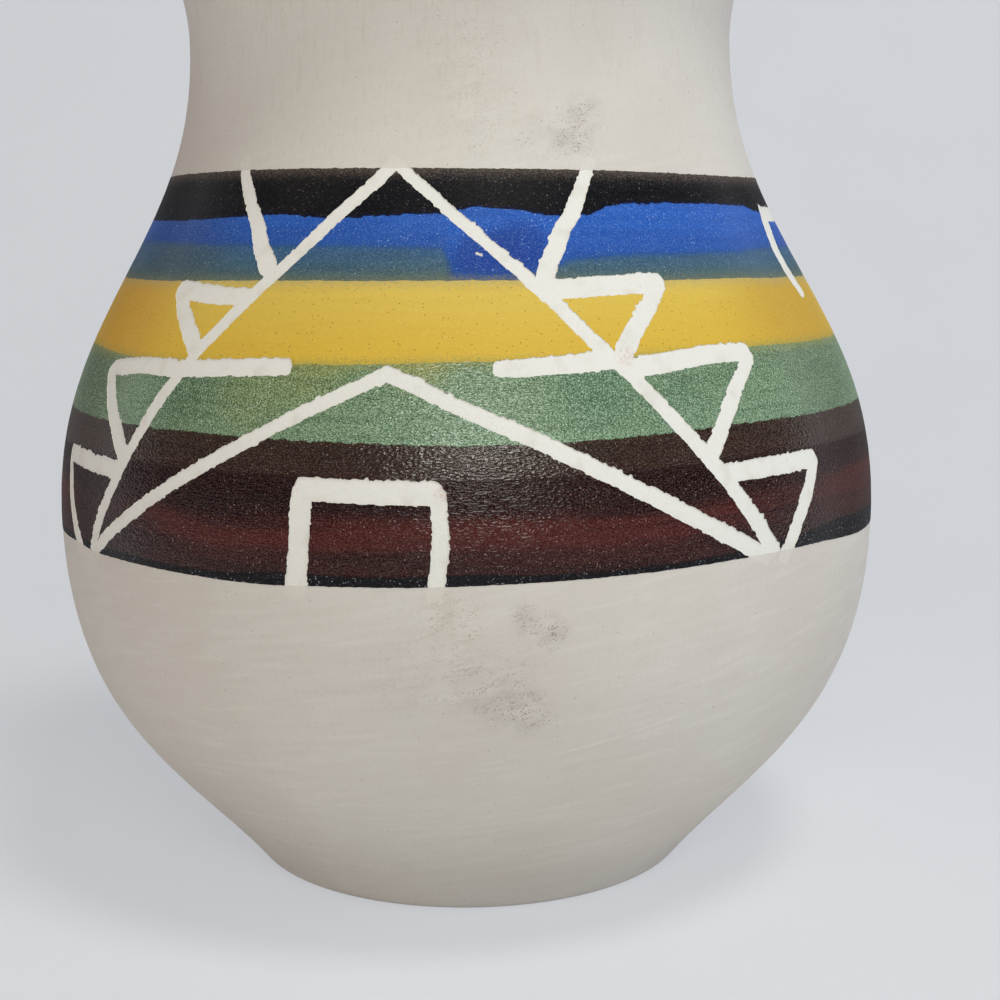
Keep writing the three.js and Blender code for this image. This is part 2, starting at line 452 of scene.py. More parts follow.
@dataclass(frozen=True)
class Scratch:
    """One pull of the tool through the paint, which broke away more along its upper side.

    Attributes:
        places: Where it goes, as degrees round from the middle of its drawing and heights.
        width: Its width where it starts and where it ends.
        chips: How far its upper side is chipped at most.
        lower_side: How much its lower side is broken, as a share of the upper one.
        step: How far apart the points of its outline are.
        sway: How far apart the slow bends of its sides are, and how far they stray.
        crumb: The least and the greatest length of a crumb that broke out of a side.
        stray: How far the crumbs stray in and out, and the grains.
        chip_gap: How much of its length has one chip.
        chip_reach: The least and the greatest half length of a chip.
    """

    places: tuple[Place, ...]
    width: Place
    chips: float = 0.2
    lower_side: float = 0.65
    step: float = 0.2
    sway: Place = (2.2, 0.035)
    crumb: Place = (0.2, 0.75)
    stray: Place = (0.06, 0.025)
    chip_gap: float = 2.5
    chip_reach: Place = (0.12, 0.3)

    def outline(self, form: VaseForm, turned: float, draw: np.random.Generator) -> np.ndarray:
        """Draws its ragged outline with round ends.

        Args:
            form: The form that it is on.
            turned: How far its drawing is turned round the vase.
            draw: Where its chance values come from.

        Returns:
            The outline's points on the flat belt, going round it.
        """
        places = np.array(self.places) + [turned, 0.0]
        radius, out, _ = form.wall_at(places[:, 1].mean())
        metric = np.array([math.radians(1) * radius, 1 / out])
        real = places * metric
        lengths = np.concatenate([[0], np.cumsum(np.linalg.norm(np.diff(real, axis=0), axis=1))])
        along = np.linspace(0, lengths[-1], max(2, int(lengths[-1] / self.step) + 1))
        path = np.column_stack([np.interp(along, lengths, real[:, i]) for i in (0, 1)])
        ahead = np.gradient(path, axis=0)
        ahead /= np.linalg.norm(ahead, axis=1, keepdims=True)
        left = np.column_stack([-ahead[:, 1], ahead[:, 0]])
        half = np.interp(along, [0, along[-1]], self.width) / 2
        # The right side of an upright line counts as its upper one
        upper = 1.0 if (left.mean(axis=0) @ [0.5, 1.0]) > 0 else -1.0
        sides = []
        for side in (1.0, -1.0):
            share = 1.0 if side == upper else self.lower_side
            sides.append(path + left * (side * (half + share * self.chipped(along, draw)))[:, None])
        ends = [
            self.round_end(path[-1], ahead[-1], half[-1], draw),
            self.round_end(path[0], -ahead[0], half[0], draw),
        ]
        return np.vstack([sides[1], ends[0], sides[0][::-1], ends[1]]) / metric * [Belt.FLAT, 1.0]

    def chipped(self, along: np.ndarray, draw: np.random.Generator) -> np.ndarray:
        """Breaks a side.

        Args:
            along: How far along the line its points are.
            draw: Where its chance values come from.

        Returns:
            How far it is broken outwards at each point.
        """
        length = along[-1]
        # The bends and the crumbs run on a little past the end, so that every point has its own
        knots = np.arange(0, length + 5, self.sway[0])
        slow = np.interp(along, knots, draw.normal(0, self.sway[1], len(knots)))
        ends = np.cumsum(draw.uniform(*self.crumb, int(length / self.crumb[0]) + 4))
        crumb = np.searchsorted(ends, along + 0.3)
        crumbs = draw.normal(0, self.stray[0], len(ends))[crumb]
        grains = draw.normal(0, self.stray[1], len(along))
        broken = np.zeros(len(along))
        for _ in range(int(length / self.chip_gap)):
            middle, reach = draw.uniform(0, length), draw.uniform(*self.chip_reach)
            depth = self.chips * draw.uniform(0.2, 1.0) ** 2
            broken = np.where(np.abs(along - middle) < reach, np.maximum(broken, depth), broken)
        return slow + (crumbs + grains) + broken

    @staticmethod
    def round_end(
        end: np.ndarray, ahead: np.ndarray, half: float, draw: np.random.Generator
    ) -> np.ndarray:
        """Draws a blunt end.

        Args:
            end: Where the line ends.
            ahead: The direction past its end.
            half: Half its width there.
            draw: Where its chance values come from.

        Returns:
            The points of the end, going round it to the left.
        """
        turns = np.radians(np.linspace(-75, 75, 9))
        right = np.array([ahead[1], -ahead[0]])
        # The flat tool leaves an end between a round and a square one
        square = (np.abs(np.cos(turns)) ** 3 + np.abs(np.sin(turns)) ** 3) ** (-1 / 3)
        reach = (half * square * draw.uniform(0.92, 1.04, len(turns)))[:, None]
        return end + reach * (np.cos(turns)[:, None] * ahead - np.sin(turns)[:, None] * right)


@dataclass(frozen=True)
class BandEdge:
    """Where one colour ends and the next begins, all the way round the vase.

    Attributes:
        places: Places along it, as degrees and heights, going round.
        ragged: How far it strays from a smooth line.
        step: How far apart its points are.
    """

    places: tuple[Place, ...]
    ragged: float = 0.03
    step: float = 0.7

    def heights(self, angles: np.ndarray) -> np.ndarray:
        """Returns its height at each angle, on a smooth closed line through its places."""
        knots = sorted((angle % 360, z) for angle, z in self.places)
        turns = np.array([angle for angle, _ in knots])
        levels = np.array([z for _, z in knots])
        turns = np.concatenate([turns[-2:] - 360, turns, turns[:2] + 360])
        levels = np.concatenate([levels[-2:], levels, levels[:2]])
        slopes = np.zeros(len(turns))
        slopes[1:-1] = (levels[2:] - levels[:-2]) / (turns[2:] - turns[:-2])
        at = angles % 360
        left = np.clip(np.searchsorted(turns, at, side="right") - 1, 1, len(turns) - 3)
        gap = turns[left + 1] - turns[left]
        share = (at - turns[left]) / gap
        rise = share * share * (3 - 2 * share)
        bend = share * (1 - share) ** 2 * slopes[left] - share * share * (1 - share) * slopes[left + 1]
        return levels[left] * (1 - rise) + levels[left + 1] * rise + gap * bend


class Paint(Enum):
    """The bands of colour, counted from the bottom up."""

    DARK_EDGE = 0
    MAROON = 1
    BROWN = 2
    GREEN = 3
    YELLOW = 4
    TEAL = 5
    BLUE = 6
    BLACK = 7

    @property
    def word(self) -> str:
        """Returns the word for it in the names of pieces, nodes and finishes."""
        return self.name.lower()


BAND_EDGES = (
    BandEdge(
        (
            (-72, 43.6), (-62, 43.8), (-55, 43.5), (-48, 43.5), (-37, 43.35), (-25, 43.2), (-17, 43.4),
            (-5, 43.6), (10, 44.0), (28, 44.45), (34, 44.6), (50, 44.6), (64, 43.9), (90, 43.6),
            (130, 43.9), (170, 43.4), (210, 43.8), (250, 43.5),
        ),
        ragged=0.02,
        step=0.4,
    ),
    BandEdge(
        (
            (-50, 44.4), (-30, 44.1), (-25, 44.5), (-8, 44.6), (1, 44.9), (10, 44.7), (28, 45.1),
            (40, 45.7), (50, 46.4), (56, 46.6), (64, 46.3), (85, 45.6), (120, 45.0), (160, 45.4),
            (200, 44.8), (240, 45.3), (280, 44.7),
        ),
    ),
    BandEdge(
        (
            (-60, 54.4), (-30, 54.5), (0, 54.3), (20, 54.7), (40, 55.2), (60, 55.2), (100, 54.8),
            (140, 54.3), (180, 54.9), (220, 54.4), (260, 54.6),
        ),
    ),
    BandEdge(
        (
            (-60, 58.3), (-38, 58.2), (-20, 58.0), (-5, 57.7), (6, 57.7), (18, 58.0), (24, 58.2),
            (36, 58.6), (54, 58.7), (64, 58.7), (95, 58.5), (135, 58.0), (175, 58.3), (215, 57.8),
            (255, 58.1), (285, 58.4),
        ),
        ragged=0.05,
        step=0.5,
    ),
    BandEdge(
        (
            (-70, 65.8), (-60, 65.5), (-50, 65.2), (-40, 65.2), (-21, 65.5), (-16, 65.5), (-6, 65.7),
            (-1, 65.8), (15, 65.9), (44, 66.4), (55, 66.3), (63, 66.3), (95, 66.0), (135, 65.6),
            (175, 65.9), (215, 65.3), (255, 65.4),
        ),
    ),
    BandEdge(
        (
            (-60, 73.55), (-48, 73.6), (-35, 73.8), (-10, 73.85), (5, 73.85), (15, 73.7), (30, 73.6),
            (45, 73.6), (59, 73.4), (90, 73.3), (130, 73.6), (170, 73.3), (210, 73.5), (250, 73.8),
            (280, 73.6),
        ),
    ),
    BandEdge(
        (
            (-60, 77.8), (-45, 77.6), (-30, 77.5), (-15, 77.4), (-9.5, 77.3), (-4.5, 77.2), (-2.9, 77.0),
            (-1.7, 74.8), (1, 74.5), (8, 74.5), (12, 75.0), (16, 75.8), (22, 76.2), (30, 76.35), (39, 76.4),
            (50, 76.5), (57, 76.8), (80, 76.9), (120, 77.4), (150, 77.0), (180, 76.4), (200, 76.2),
            (230, 76.9), (270, 77.5),
        ),
    ),
    BandEdge(
        (
            (-57, 80.2), (-44, 80.4), (-31, 80.7), (-20, 80.3), (-10, 80.6), (-4, 80.7), (1, 81.3),
            (9, 81.0), (12, 80.6), (19, 80.4), (22, 80.9), (24, 81.4), (30, 81.7), (44, 81.7),
            (57, 81.5), (66, 80.8), (85, 80.6), (120, 80.9), (150, 80.5), (185, 80.9), (215, 80.4),
            (250, 80.7), (280, 80.4),
        ),
        ragged=0.06,
        step=0.5,
    ),
    BandEdge(
        (
            (-60, 85.5), (-30, 85.6), (0, 85.4), (25, 85.2), (60, 84.9), (110, 85.4), (160, 85.7),
            (210, 85.6), (260, 85.3),
        ),
        step=0.4,
    ),
)

TENT = (
    # The tall tent
    Scratch(
        (
            (-11.6, 86.0), (-14.6, 84.0), (-20.4, 80.5), (-25.6, 76.8), (-30.6, 73.2), (-34.2, 70.2),
            (-37.7, 67.2), (-42.8, 61.7), (-46.2, 57.3), (-49.6, 52.7), (-53.4, 47.9), (-55.9, 43.9),
        ),
        width=(1.7, 1.5),
    ),
    Scratch(
        (
            (-11.0, 86.0), (-8.7, 84.6), (-5.0, 82.7), (-1.4, 80.5), (1.9, 78.6), (5.1, 76.6),
            (8.1, 74.6), (13.1, 71.0), (16.2, 68.3), (21.6, 63.9), (25.7, 60.0), (28.0, 57.7),
            (32.5, 53.3), (36.8, 48.5), (39.9, 45.0),
        ),
        width=(1.45, 1.9),
    ),
    # The two straps above it
    Scratch(
        ((-42.0, 86.6), (-40.8, 84.7), (-38.7, 82.9), (-34.6, 79.3), (-33.0, 77.5), (-30.4, 75.2)),
        width=(1.5, 2.05),
    ),
    Scratch(
        ((22.1, 86.1), (19.2, 82.6), (17.6, 80.9), (15.4, 79.1), (12.6, 75.7), (11.6, 74.2)),
        width=(1.45, 1.95),
    ),
    # The three flags down its left side
    Scratch(((-33.0, 72.1), (-38.1, 72.2), (-46.6, 72.7)), width=(2.2, 2.3)),
    Scratch(((-46.6, 72.5), (-44.4, 70.5), (-42.8, 69.3), (-39.0, 66.6)), width=(2.1, 2.15)),
    Scratch(((-23.9, 65.2), (-32.2, 64.9), (-42.3, 64.5), (-48.8, 64.6), (-57.2, 63.9)), width=(2.0, 2.0)),
    Scratch(((-58.0, 63.4), (-55.2, 60.4), (-52.0, 57.8), (-48.7, 54.7)), width=(2.1, 2.25)),
    Scratch(((-50.2, 53.2), (-58.8, 53.5), (-66.2, 53.7)), width=(2.2, 2.0)),
    Scratch(((-66.3, 52.9), (-64.4, 48.4), (-62.4, 45.3), (-60.7, 43.4)), width=(1.7, 2.3)),
    # The three flags down its right side
    Scratch(((12.6, 72.9), (20.2, 73.2), (28.6, 73.4)), width=(2.3, 2.45)),
    Scratch(((28.6, 73.1), (26.1, 70.9), (22.8, 68.4), (20.4, 65.9)), width=(2.0, 2.1)),
    Scratch(((4.4, 65.1), (12.0, 65.4), (18.6, 65.8)), width=(1.85, 2.3)),
    Scratch(((21.6, 64.8), (28.7, 65.5), (34.9, 65.9), (40.5, 65.9)), width=(2.1, 2.2)),
    Scratch(((41.0, 65.4), (37.1, 62.5), (33.8, 59.3), (31.0, 56.0)), width=(1.7, 2.0)),
    Scratch(((33.0, 53.7), (39.9, 53.9), (48.8, 54.0)), width=(2.1, 2.2)),
    Scratch(((49.2, 53.6), (47.3, 50.5), (44.6, 47.3), (42.3, 44.2)), width=(2.0, 2.1)),
    # The low tent inside it
    Scratch(
        (
            (-9.9, 64.6), (-12.3, 63.8), (-20.1, 60.8), (-28.4, 57.2), (-32.8, 55.2), (-37.7, 52.9),
            (-43.3, 50.1), (-50.3, 46.5), (-54.8, 43.9),
        ),
        width=(1.5, 1.5),
    ),
    Scratch(
        (
            (-9.9, 64.7), (-7.0, 63.7), (0.3, 61.0), (7.4, 58.4), (14.3, 55.5), (21.6, 52.2),
            (29.6, 48.5), (38.6, 44.4),
        ),
        width=(1.65, 2.0),
    ),
    # The doorway
    Scratch(((-20.2, 43.2), (-19.7, 47.0), (-19.5, 52.6)), width=(2.3, 2.4)),
    Scratch(((-19.2, 53.2), (-11.4, 53.1), (-4.2, 53.0)), width=(2.4, 2.55)),
    Scratch(((-3.4, 52.6), (-3.1, 49.0), (-3.4, 45.0), (-3.8, 42.6)), width=(1.8, 1.8)),
)

SIDE_DOORWAY = (
    Scratch(((67.2, 80.6), (65.0, 78.5), (63.7, 76.3), (63.8, 74.3), (65.2, 72.0)), width=(2.6, 2.3)),
    Scratch(((67.0, 80.7), (77.0, 80.7), (85.4, 80.9)), width=(2.0, 2.1)),
    Scratch(((85.8, 80.4), (86.2, 76.0), (86.6, 71.6)), width=(2.2, 1.9)),
)

CHIP = (Scratch(((1.9, 76.6), (2.5, 76.4)), width=(0.35, 0.3), chips=0.05),)

DRAWINGS = ((0.0, TENT), (-180.0, TENT), (0.0, SIDE_DOORWAY), (-180.0, SIDE_DOORWAY), (0.0, CHIP))


class Belt:
    """The painted belt, cut into small triangles along every colour's edge and every scratch.

    It is laid out flat from one seam to the other, and the two seams are one line on the vase.

    Args:
        form: The form that it goes round.
        columns: How many even columns the clay above and below it has.

    Attributes:
        FLAT: How far one degree round the vase goes on the flat belt.
        SEAM: Where the seam is, in degrees.
        BOTTOM: The height of its lower border.
        TOP: The height of its upper border.
        STEP: How far apart its even points are.
        ROW: How far apart their rows are, as a share of that.
        CLEAR: How far the even points keep from every line.
        CRUMB: How large the smallest patch of paint is that has held.
        NEAR: How close together two points count as one.
        SEED: What its chance values grow from.
    """

    FLAT = math.radians(1) * 45.0
    SEAM = -260.0
    BOTTOM = 40.5
    TOP = 89.0
    STEP = 1.5
    ROW = 0.87
    CLEAR = 0.5
    CRUMB = 0.25
    NEAR = 1e-4
    SEED = 20

    def __init__(self, form: VaseForm, columns: int) -> None:
        """Lays the belt out and cuts it."""
        self.form = form
        self.columns = columns
        self.draw = np.random.default_rng(self.SEED)
        self.flat: list[Place] = []
        self.sides: list[Place] = []
        self.scratches: list[list[int]] = []
        self.lines: list[np.ndarray] = []
        self._border()
        self._scratch()
        self._fill()
        self._cut()
        self._sweep_crumbs()

    @property
    def left(self) -> float:
        """Returns where the flat belt starts."""
        return self.SEAM * self.FLAT

    @property
    def right(self) -> float:
        """Returns where the flat belt ends."""
        return (self.SEAM + 360) * self.FLAT

    def _put(self, places: Sequence[Place]) -> list[int]:
        """Adds places to the flat belt and returns their numbers."""
        start = len(self.flat)
        self.flat.extend((float(u), float(v)) for u, v in places)
        return list(range(start, len(self.flat)))

    def _line(self, numbers: Sequence[int]) -> None:
        """Keeps the sides of the triangles on a line through some places."""
        self.sides.extend(zip(numbers[:-1], numbers[1:]))

    def _border(self) -> None:
        """Draws the border of the belt and the edges of the colours, from seam to seam."""
        crossings = [float(edge.heights(np.array([self.SEAM]))[0]) for edge in BAND_EDGES]
        levels = [
            level
            for level in steps(self.BOTTOM, self.TOP, self.STEP)
            if min(abs(level - crossing) for crossing in crossings) > self.CLEAR
        ]
        levels = sorted(levels + crossings)
        seams = [self._put([(u, level) for level in levels]) for u in (self.left, self.right)]
        columns = np.linspace(self.left, self.right, self.columns + 1)[1:-1]
        for seam in seams:
            self._line(seam)
        for end, level in ((0, self.BOTTOM), (-1, self.TOP)):
            middle = self._put([(u, level) for u in columns])
            self._line([seams[0][end], *middle, seams[1][end]])
        for edge, crossing in zip(BAND_EDGES, crossings):
            at = steps(self.left, self.right, edge.step)[1:-1]
            stray = self.draw.normal(0, edge.ragged, len(at))
            heights = edge.heights(at / self.FLAT) + stray
            place = levels.index(crossing)
            middle = self._put(list(zip(at, heights)))
            self._line([seams[0][place], *middle, seams[1][place]])
            whole_at = np.concatenate([[self.left], at, [self.right]])
            whole = np.concatenate([[crossing], heights, [crossing]])
            self.lines.append(np.column_stack([whole_at, whole]))

    def _scratch(self) -> None:
        """Draws the outline of every scratch."""
        for turned, drawing in DRAWINGS:
            for scratch in drawing:
                self.scratches.append(self._put(scratch.outline(self.form, turned, self.draw)))

    def _fill(self) -> None:
        """Puts even places between the lines, clear of them."""
        tree = KDTree(len(self.flat))
        for number, (u, v) in enumerate(self.flat):
            tree.insert((u, v, 0.0), number)
        tree.balance()
        filling = []
        rows = np.arange(self.BOTTOM + self.STEP, self.TOP, self.STEP * self.ROW)
        for row, v in enumerate(rows):
            shift = 0.5 * self.STEP * (row % 2)
            for u in np.arange(self.left + self.STEP + shift, self.right, self.STEP):
                if tree.find((u, v, 0.0))[2] > self.CLEAR:
                    filling.append((u, v))
        self._put(filling)

    def _cut(self) -> None:
        """Cuts the flat belt into triangles, and finds the band and the scratch of each."""
        flat = [Vector(place) for place in self.flat]
        reach = 1e-5
        corners, _, faces, _, _, owners = delaunay_2d_cdt(flat, self.sides, self.scratches, 0, reach)
        places = np.array(corners)
        faces = np.array(faces)
        first, second, third = (places[faces[:, i]] for i in (0, 1, 2))
        one, other = second - first, third - first
        area = (one[:, 0] * other[:, 1] - one[:, 1] * other[:, 0]) / 2
        faces[area < 0] = faces[area < 0][:, ::-1]
        self.area = np.abs(area)
        self.scratched = np.array([bool(owner) for owner in owners])
        middle = (first + second + third) / 3
        below = [np.interp(middle[:, 0], line[:, 0], line[:, 1]) for line in self.lines]
        self.band = np.sum([middle[:, 1] > height for height in below], axis=0) - 1
        self.faces = self._close_seam(places, faces)
        self.angle = places[:, 0] / self.FLAT
        self.z = places[:, 1]

    def _close_seam(self, places: np.ndarray, faces: np.ndarray) -> np.ndarray:
        """Gives the triangles at the right seam the points of the left one."""
        ends = [np.flatnonzero(np.abs(places[:, 0] - u) < self.NEAR) for u in (self.left, self.right)]
        left, right = (end[np.argsort(places[end, 1])] for end in ends)
        same = np.arange(len(places))
        same[right] = left
        return same[faces]

    def _sweep_crumbs(self) -> None:
        """Scratches away the crumbs of paint that are too small to have held."""
        painted = np.flatnonzero(~self.scratched & (self.band >= 0) & (self.band < len(Paint)))
        owner = {int(face): int(face) for face in painted}

        def root(face: int) -> int:
            """Returns the first triangle of the patch that a triangle is in."""
            while owner[face] != face:
                owner[face] = owner[owner[face]]
                face = owner[face]
            return face

        seen: dict[tuple[int, int], int] = {}
        for face in map(int, painted):
            a, b, c = self.faces[face]
            for side in ((a, b), (b, c), (c, a)):
                key = (min(side), max(side))
                if key in seen:
                    owner[root(face)] = root(seen[key])
                else:
                    seen[key] = face
        sizes: dict[int, float] = {}
        for face in map(int, painted):
            sizes[root(face)] = sizes.get(root(face), 0.0) + self.area[face]
        for face in map(int, painted):
            if sizes[root(face)] < self.CRUMB:
                self.scratched[face] = True

    def ring(self, level: float) -> np.ndarray:
        """Returns the numbers of the points along the bottom or the top of the belt, in order."""
        used = np.unique(self.faces)
        on = used[np.abs(self.z[used] - level) < self.NEAR]
        return on[np.argsort(self.angle[on])]

    def above(self, edge: int, points: np.ndarray) -> np.ndarray:
        """Returns how far some points lie above an edge of the colours, in mm."""
        line = self.lines[edge]
        return self.z[points] - np.interp(self.angle[points] * self.FLAT, line[:, 0], line[:, 1])


class Nodes:
    """Writes the nodes of one material, where an input is a plain value or another node's output.

    Args:
        name: The material's name.
        colour: The colour that others are laid over.
    """

    def __init__(self, name: str, colour: Colour) -> None:
        """Starts a material with its shader and the place on the object."""
        self.material = bpy.data.materials.new(name)
        self.material.use_nodes = True
        self.tree = self.material.node_tree
        self.shader = self.tree.nodes["Principled BSDF"]
        self.place = self.add("ShaderNodeTexCoord").outputs["Object"]
        self.colour: Input = colour
        self.normal: Socket | None = None

    def add(self, kind: str, **settings: object) -> bpy.types.Node:
        """Adds a node of a kind, with its settings, and returns it."""
        node = self.tree.nodes.new(kind)
        for name, value in settings.items():
            setattr(node, name, value)
        return node

    def feed(self, socket: Socket, value: Input) -> None:
        """Gives an input its value, or the output that it follows."""
        if isinstance(value, Socket):
            self.tree.links.new(value, socket)
        elif isinstance(value, tuple) and socket.type == "RGBA":
            socket.default_value = (*value, 1.0)
        else:
            socket.default_value = value

    def math(self, operation: str, *values: Input) -> Socket:
        """Returns the outcome of a sum on one, two or three values."""
        node = self.add("ShaderNodeMath", operation=operation)
        for socket, value in zip(node.inputs, values):
            self.feed(socket, value)
        return node.outputs[0]

    def times(self, first: Input, second: Input) -> Socket:
        """Returns two values multiplied."""
        return self.math("MULTIPLY", first, second)

    def between(
        self, value: Input, low: float, high: float, first: float = 0.0, last: float = 1.0
    ) -> Socket:
        """Turns a value into another that goes gently from first at low to last at high.

        Args:
            value: What is read.
            low: Where the change starts.
            high: Where it ends, which may be less than low.
            first: The outcome at low and before it.
            last: The outcome at high and after it.

        Returns:
            The outcome.
        """
        node = self.add("ShaderNodeMapRange", interpolation_type="SMOOTHSTEP")
        ends = (value, low, high, first, last) if low < high else (value, high, low, last, first)
        for socket, part in zip(node.inputs, ends):
            self.feed(socket, part)
        return node.outputs[0]

    def lay(self, colour: Colour, *shares: Input) -> None:
        """Lays a colour over the one so far.

        Args:
            colour: The colour.
            shares: How much of it shows, as shares that are multiplied.
        """
        node = self.add("ShaderNodeMix", data_type="RGBA")
        self.feed(node.inputs["Factor"], reduce(self.times, shares))
        self.feed(node.inputs[6], self.colour)
        self.feed(node.inputs[7], colour)
        self.colour = node.outputs[2]

    def stretched(self, stretch: Place, shift: float, slant: float = 0.0) -> Socket:
        """Turns the place on the object into the one that a texture is read at.

        Args:
            stretch: How much longer the texture becomes level and upwards.
            shift: How far it is moved.
            slant: How much it climbs to the right on the front, in degrees.

        Returns:
            The place.
        """
        node = self.add("ShaderNodeMapping", vector_type="TEXTURE")
        self.feed(node.inputs["Vector"], self.place)
        node.inputs["Location"].default_value = (shift, 0.6 * shift, 1.7 * shift)
        node.inputs["Rotation"].default_value = (0.0, -math.radians(slant), 0.0)
        node.inputs["Scale"].default_value = (stretch[0], stretch[0], stretch[1])
        return node.outputs[0]

    def noise(
        self,
        size: float,
        detail: float,
        stretch: Place = (1.0, 1.0),
        shift: float = 0.0,
        slant: float = 0.0,
    ) -> Socket:
        """Returns cloudy noise about 0.5.

        Args:
            size: How wide its clouds are, in mm.
            detail: How many finer layers it has.
            stretch: How much longer they are level and upwards.
            shift: How far they are moved, so that two noises differ.
            slant: How much they climb to the right on the front, in degrees.

        Returns:
            The noise.
        """
        node = self.add("ShaderNodeTexNoise")
        self.feed(node.inputs["Vector"], self.stretched(stretch, shift, slant))
        node.inputs["Scale"].default_value = 1 / (size * MM)
        node.inputs["Detail"].default_value = detail
        return node.outputs[0]

    def specks(self, apart: float, size: float, shift: float, kept: float) -> Socket:
        """Returns 1 in small round specks strewn over the surface, and 0 between them.

        Args:
            apart: How far apart they are, in mm.
            size: How wide they are, in mm.
            shift: How far they are moved, so that two lots differ.
            kept: The share of the specks that is there.

        Returns:
            The specks.
        """
        node = self.add("ShaderNodeTexVoronoi")
        self.feed(node.inputs["Vector"], self.stretched((1.0, 1.0), shift))
        node.inputs["Scale"].default_value = 1 / (apart * MM)
        reach = 0.5 * size / apart
        near = self.between(node.outputs["Distance"], reach, 0.6 * reach)
        parts = self.add("ShaderNodeSeparateColor")
        self.feed(parts.inputs[0], node.outputs["Color"])
        chosen = self.math("LESS_THAN", parts.outputs[0], kept)
        return self.times(near, chosen)

    def near(self, spot: Vector, reach: float, inner: float = 0.3) -> Socket:
        """Returns 1 at a spot, falling gently to 0 at a reach in mm from it."""
        node = self.add("ShaderNodeVectorMath", operation="DISTANCE")
        self.feed(node.inputs[0], self.place)
        node.inputs[1].default_value = spot
        return self.between(node.outputs["Value"], reach * MM, inner * reach * MM)

    def line(self, start: Vector, end: Vector, width: float) -> Socket:
        """Returns 1 along a fine line over the surface, and 0 away from it.

        Args:
            start: The spot where it starts.
            end: The spot where it ends.
            width: How wide it is, in mm.

        Returns:
            The line.
        """
        middle = (start + end) / 2
        across = (end - start).cross(Vector((middle.x, middle.y, 0.0))).normalized()
        node = self.add("ShaderNodeVectorMath", operation="DOT_PRODUCT")
        self.feed(node.inputs[0], self.place)
        node.inputs[1].default_value = across
        off = self.math("ABSOLUTE", self.math("SUBTRACT", node.outputs["Value"], across @ middle))
        fine = self.between(off, 0.5 * width * MM, 0.0)
        return self.times(fine, self.near(middle, 0.5 * (end - start).length / MM, 0.7))

    def grazing(self, low: float, high: float, most: float) -> Socket:
        """Returns 0 where the surface is seen straight on, and up to a most where it is seen edge on."""
        facing = self.add("ShaderNodeLayerWeight").outputs["Facing"]
        return self.between(facing, low, high, 0.0, most)

    def height(self) -> Socket:
        """Returns how high a place lies above the foot, in metres."""
        node = self.add("ShaderNodeSeparateXYZ")
        self.feed(node.inputs[0], self.place)
        return node.outputs["Z"]

    def attribute(self, name: str) -> Socket:
        """Returns a value that the mesh carries at its points."""
        return self.add("ShaderNodeAttribute", attribute_name=name).outputs["Fac"]

    def bump(self, height: Input, depth: float) -> None:
        """Lays small heights over the surface so far.

        Args:
            height: The heights, from 0 to 1.
            depth: How far apart 0 and 1 are, in mm.
        """
        node = self.add("ShaderNodeBump")
        node.inputs["Distance"].default_value = depth * MM
        self.feed(node.inputs["Height"], height)
        if self.normal is not None:
            self.feed(node.inputs["Normal"], self.normal)
        self.normal = node.outputs[0]

    def glow(self, colour: Colour, share: float) -> None:
        """Mixes a colour into what the camera sees of a surface, and mirrors and glass with it.

        Args:
            colour: The colour.
            share: Its share, of which the light on other surfaces gets nothing.
        """
        path = self.add("ShaderNodeLightPath")
        seen = path.outputs["Is Camera Ray"]
        for ray in ("Is Glossy Ray", "Is Transmission Ray"):
            seen = self.math("MAXIMUM", seen, path.outputs[ray])
        light = self.add("ShaderNodeEmission")
        self.feed(light.inputs["Color"], colour)
        both = self.add("ShaderNodeMixShader")
        self.feed(both.inputs[0], self.times(seen, share))
        self.tree.links.new(self.shader.outputs[0], both.inputs[1])
        self.tree.links.new(light.outputs[0], both.inputs[2])
        self.tree.links.new(both.outputs[0], self.tree.nodes["Material Output"].inputs[0])

    def finish(self, roughness: Input, specular: float = 0.5) -> bpy.types.Material:
        """Gives the shader its colour, surface and gloss, and returns the material."""
        self.feed(self.shader.inputs["Base Color"], self.colour)
        self.feed(self.shader.inputs["Normal"], self.normal)
        self.feed(self.shader.inputs["Roughness"], roughness)
        self.shader.inputs["Specular IOR Level"].default_value = specular
        return self.material


@dataclass(frozen=True)
class Smudge:
    """Dust rubbed into the grain of the clay, another stain, or a patch of painted shade.

    Attributes:
        angle: Where its middle is, in degrees.
        z: How high its middle is.
        reach: How far it spreads.
        strength: How dark it is at most.
        warm: Whether it is brownish rather than grey.
    """

    angle: float
    z: float
    reach: float
    strength: float
    warm: bool = False


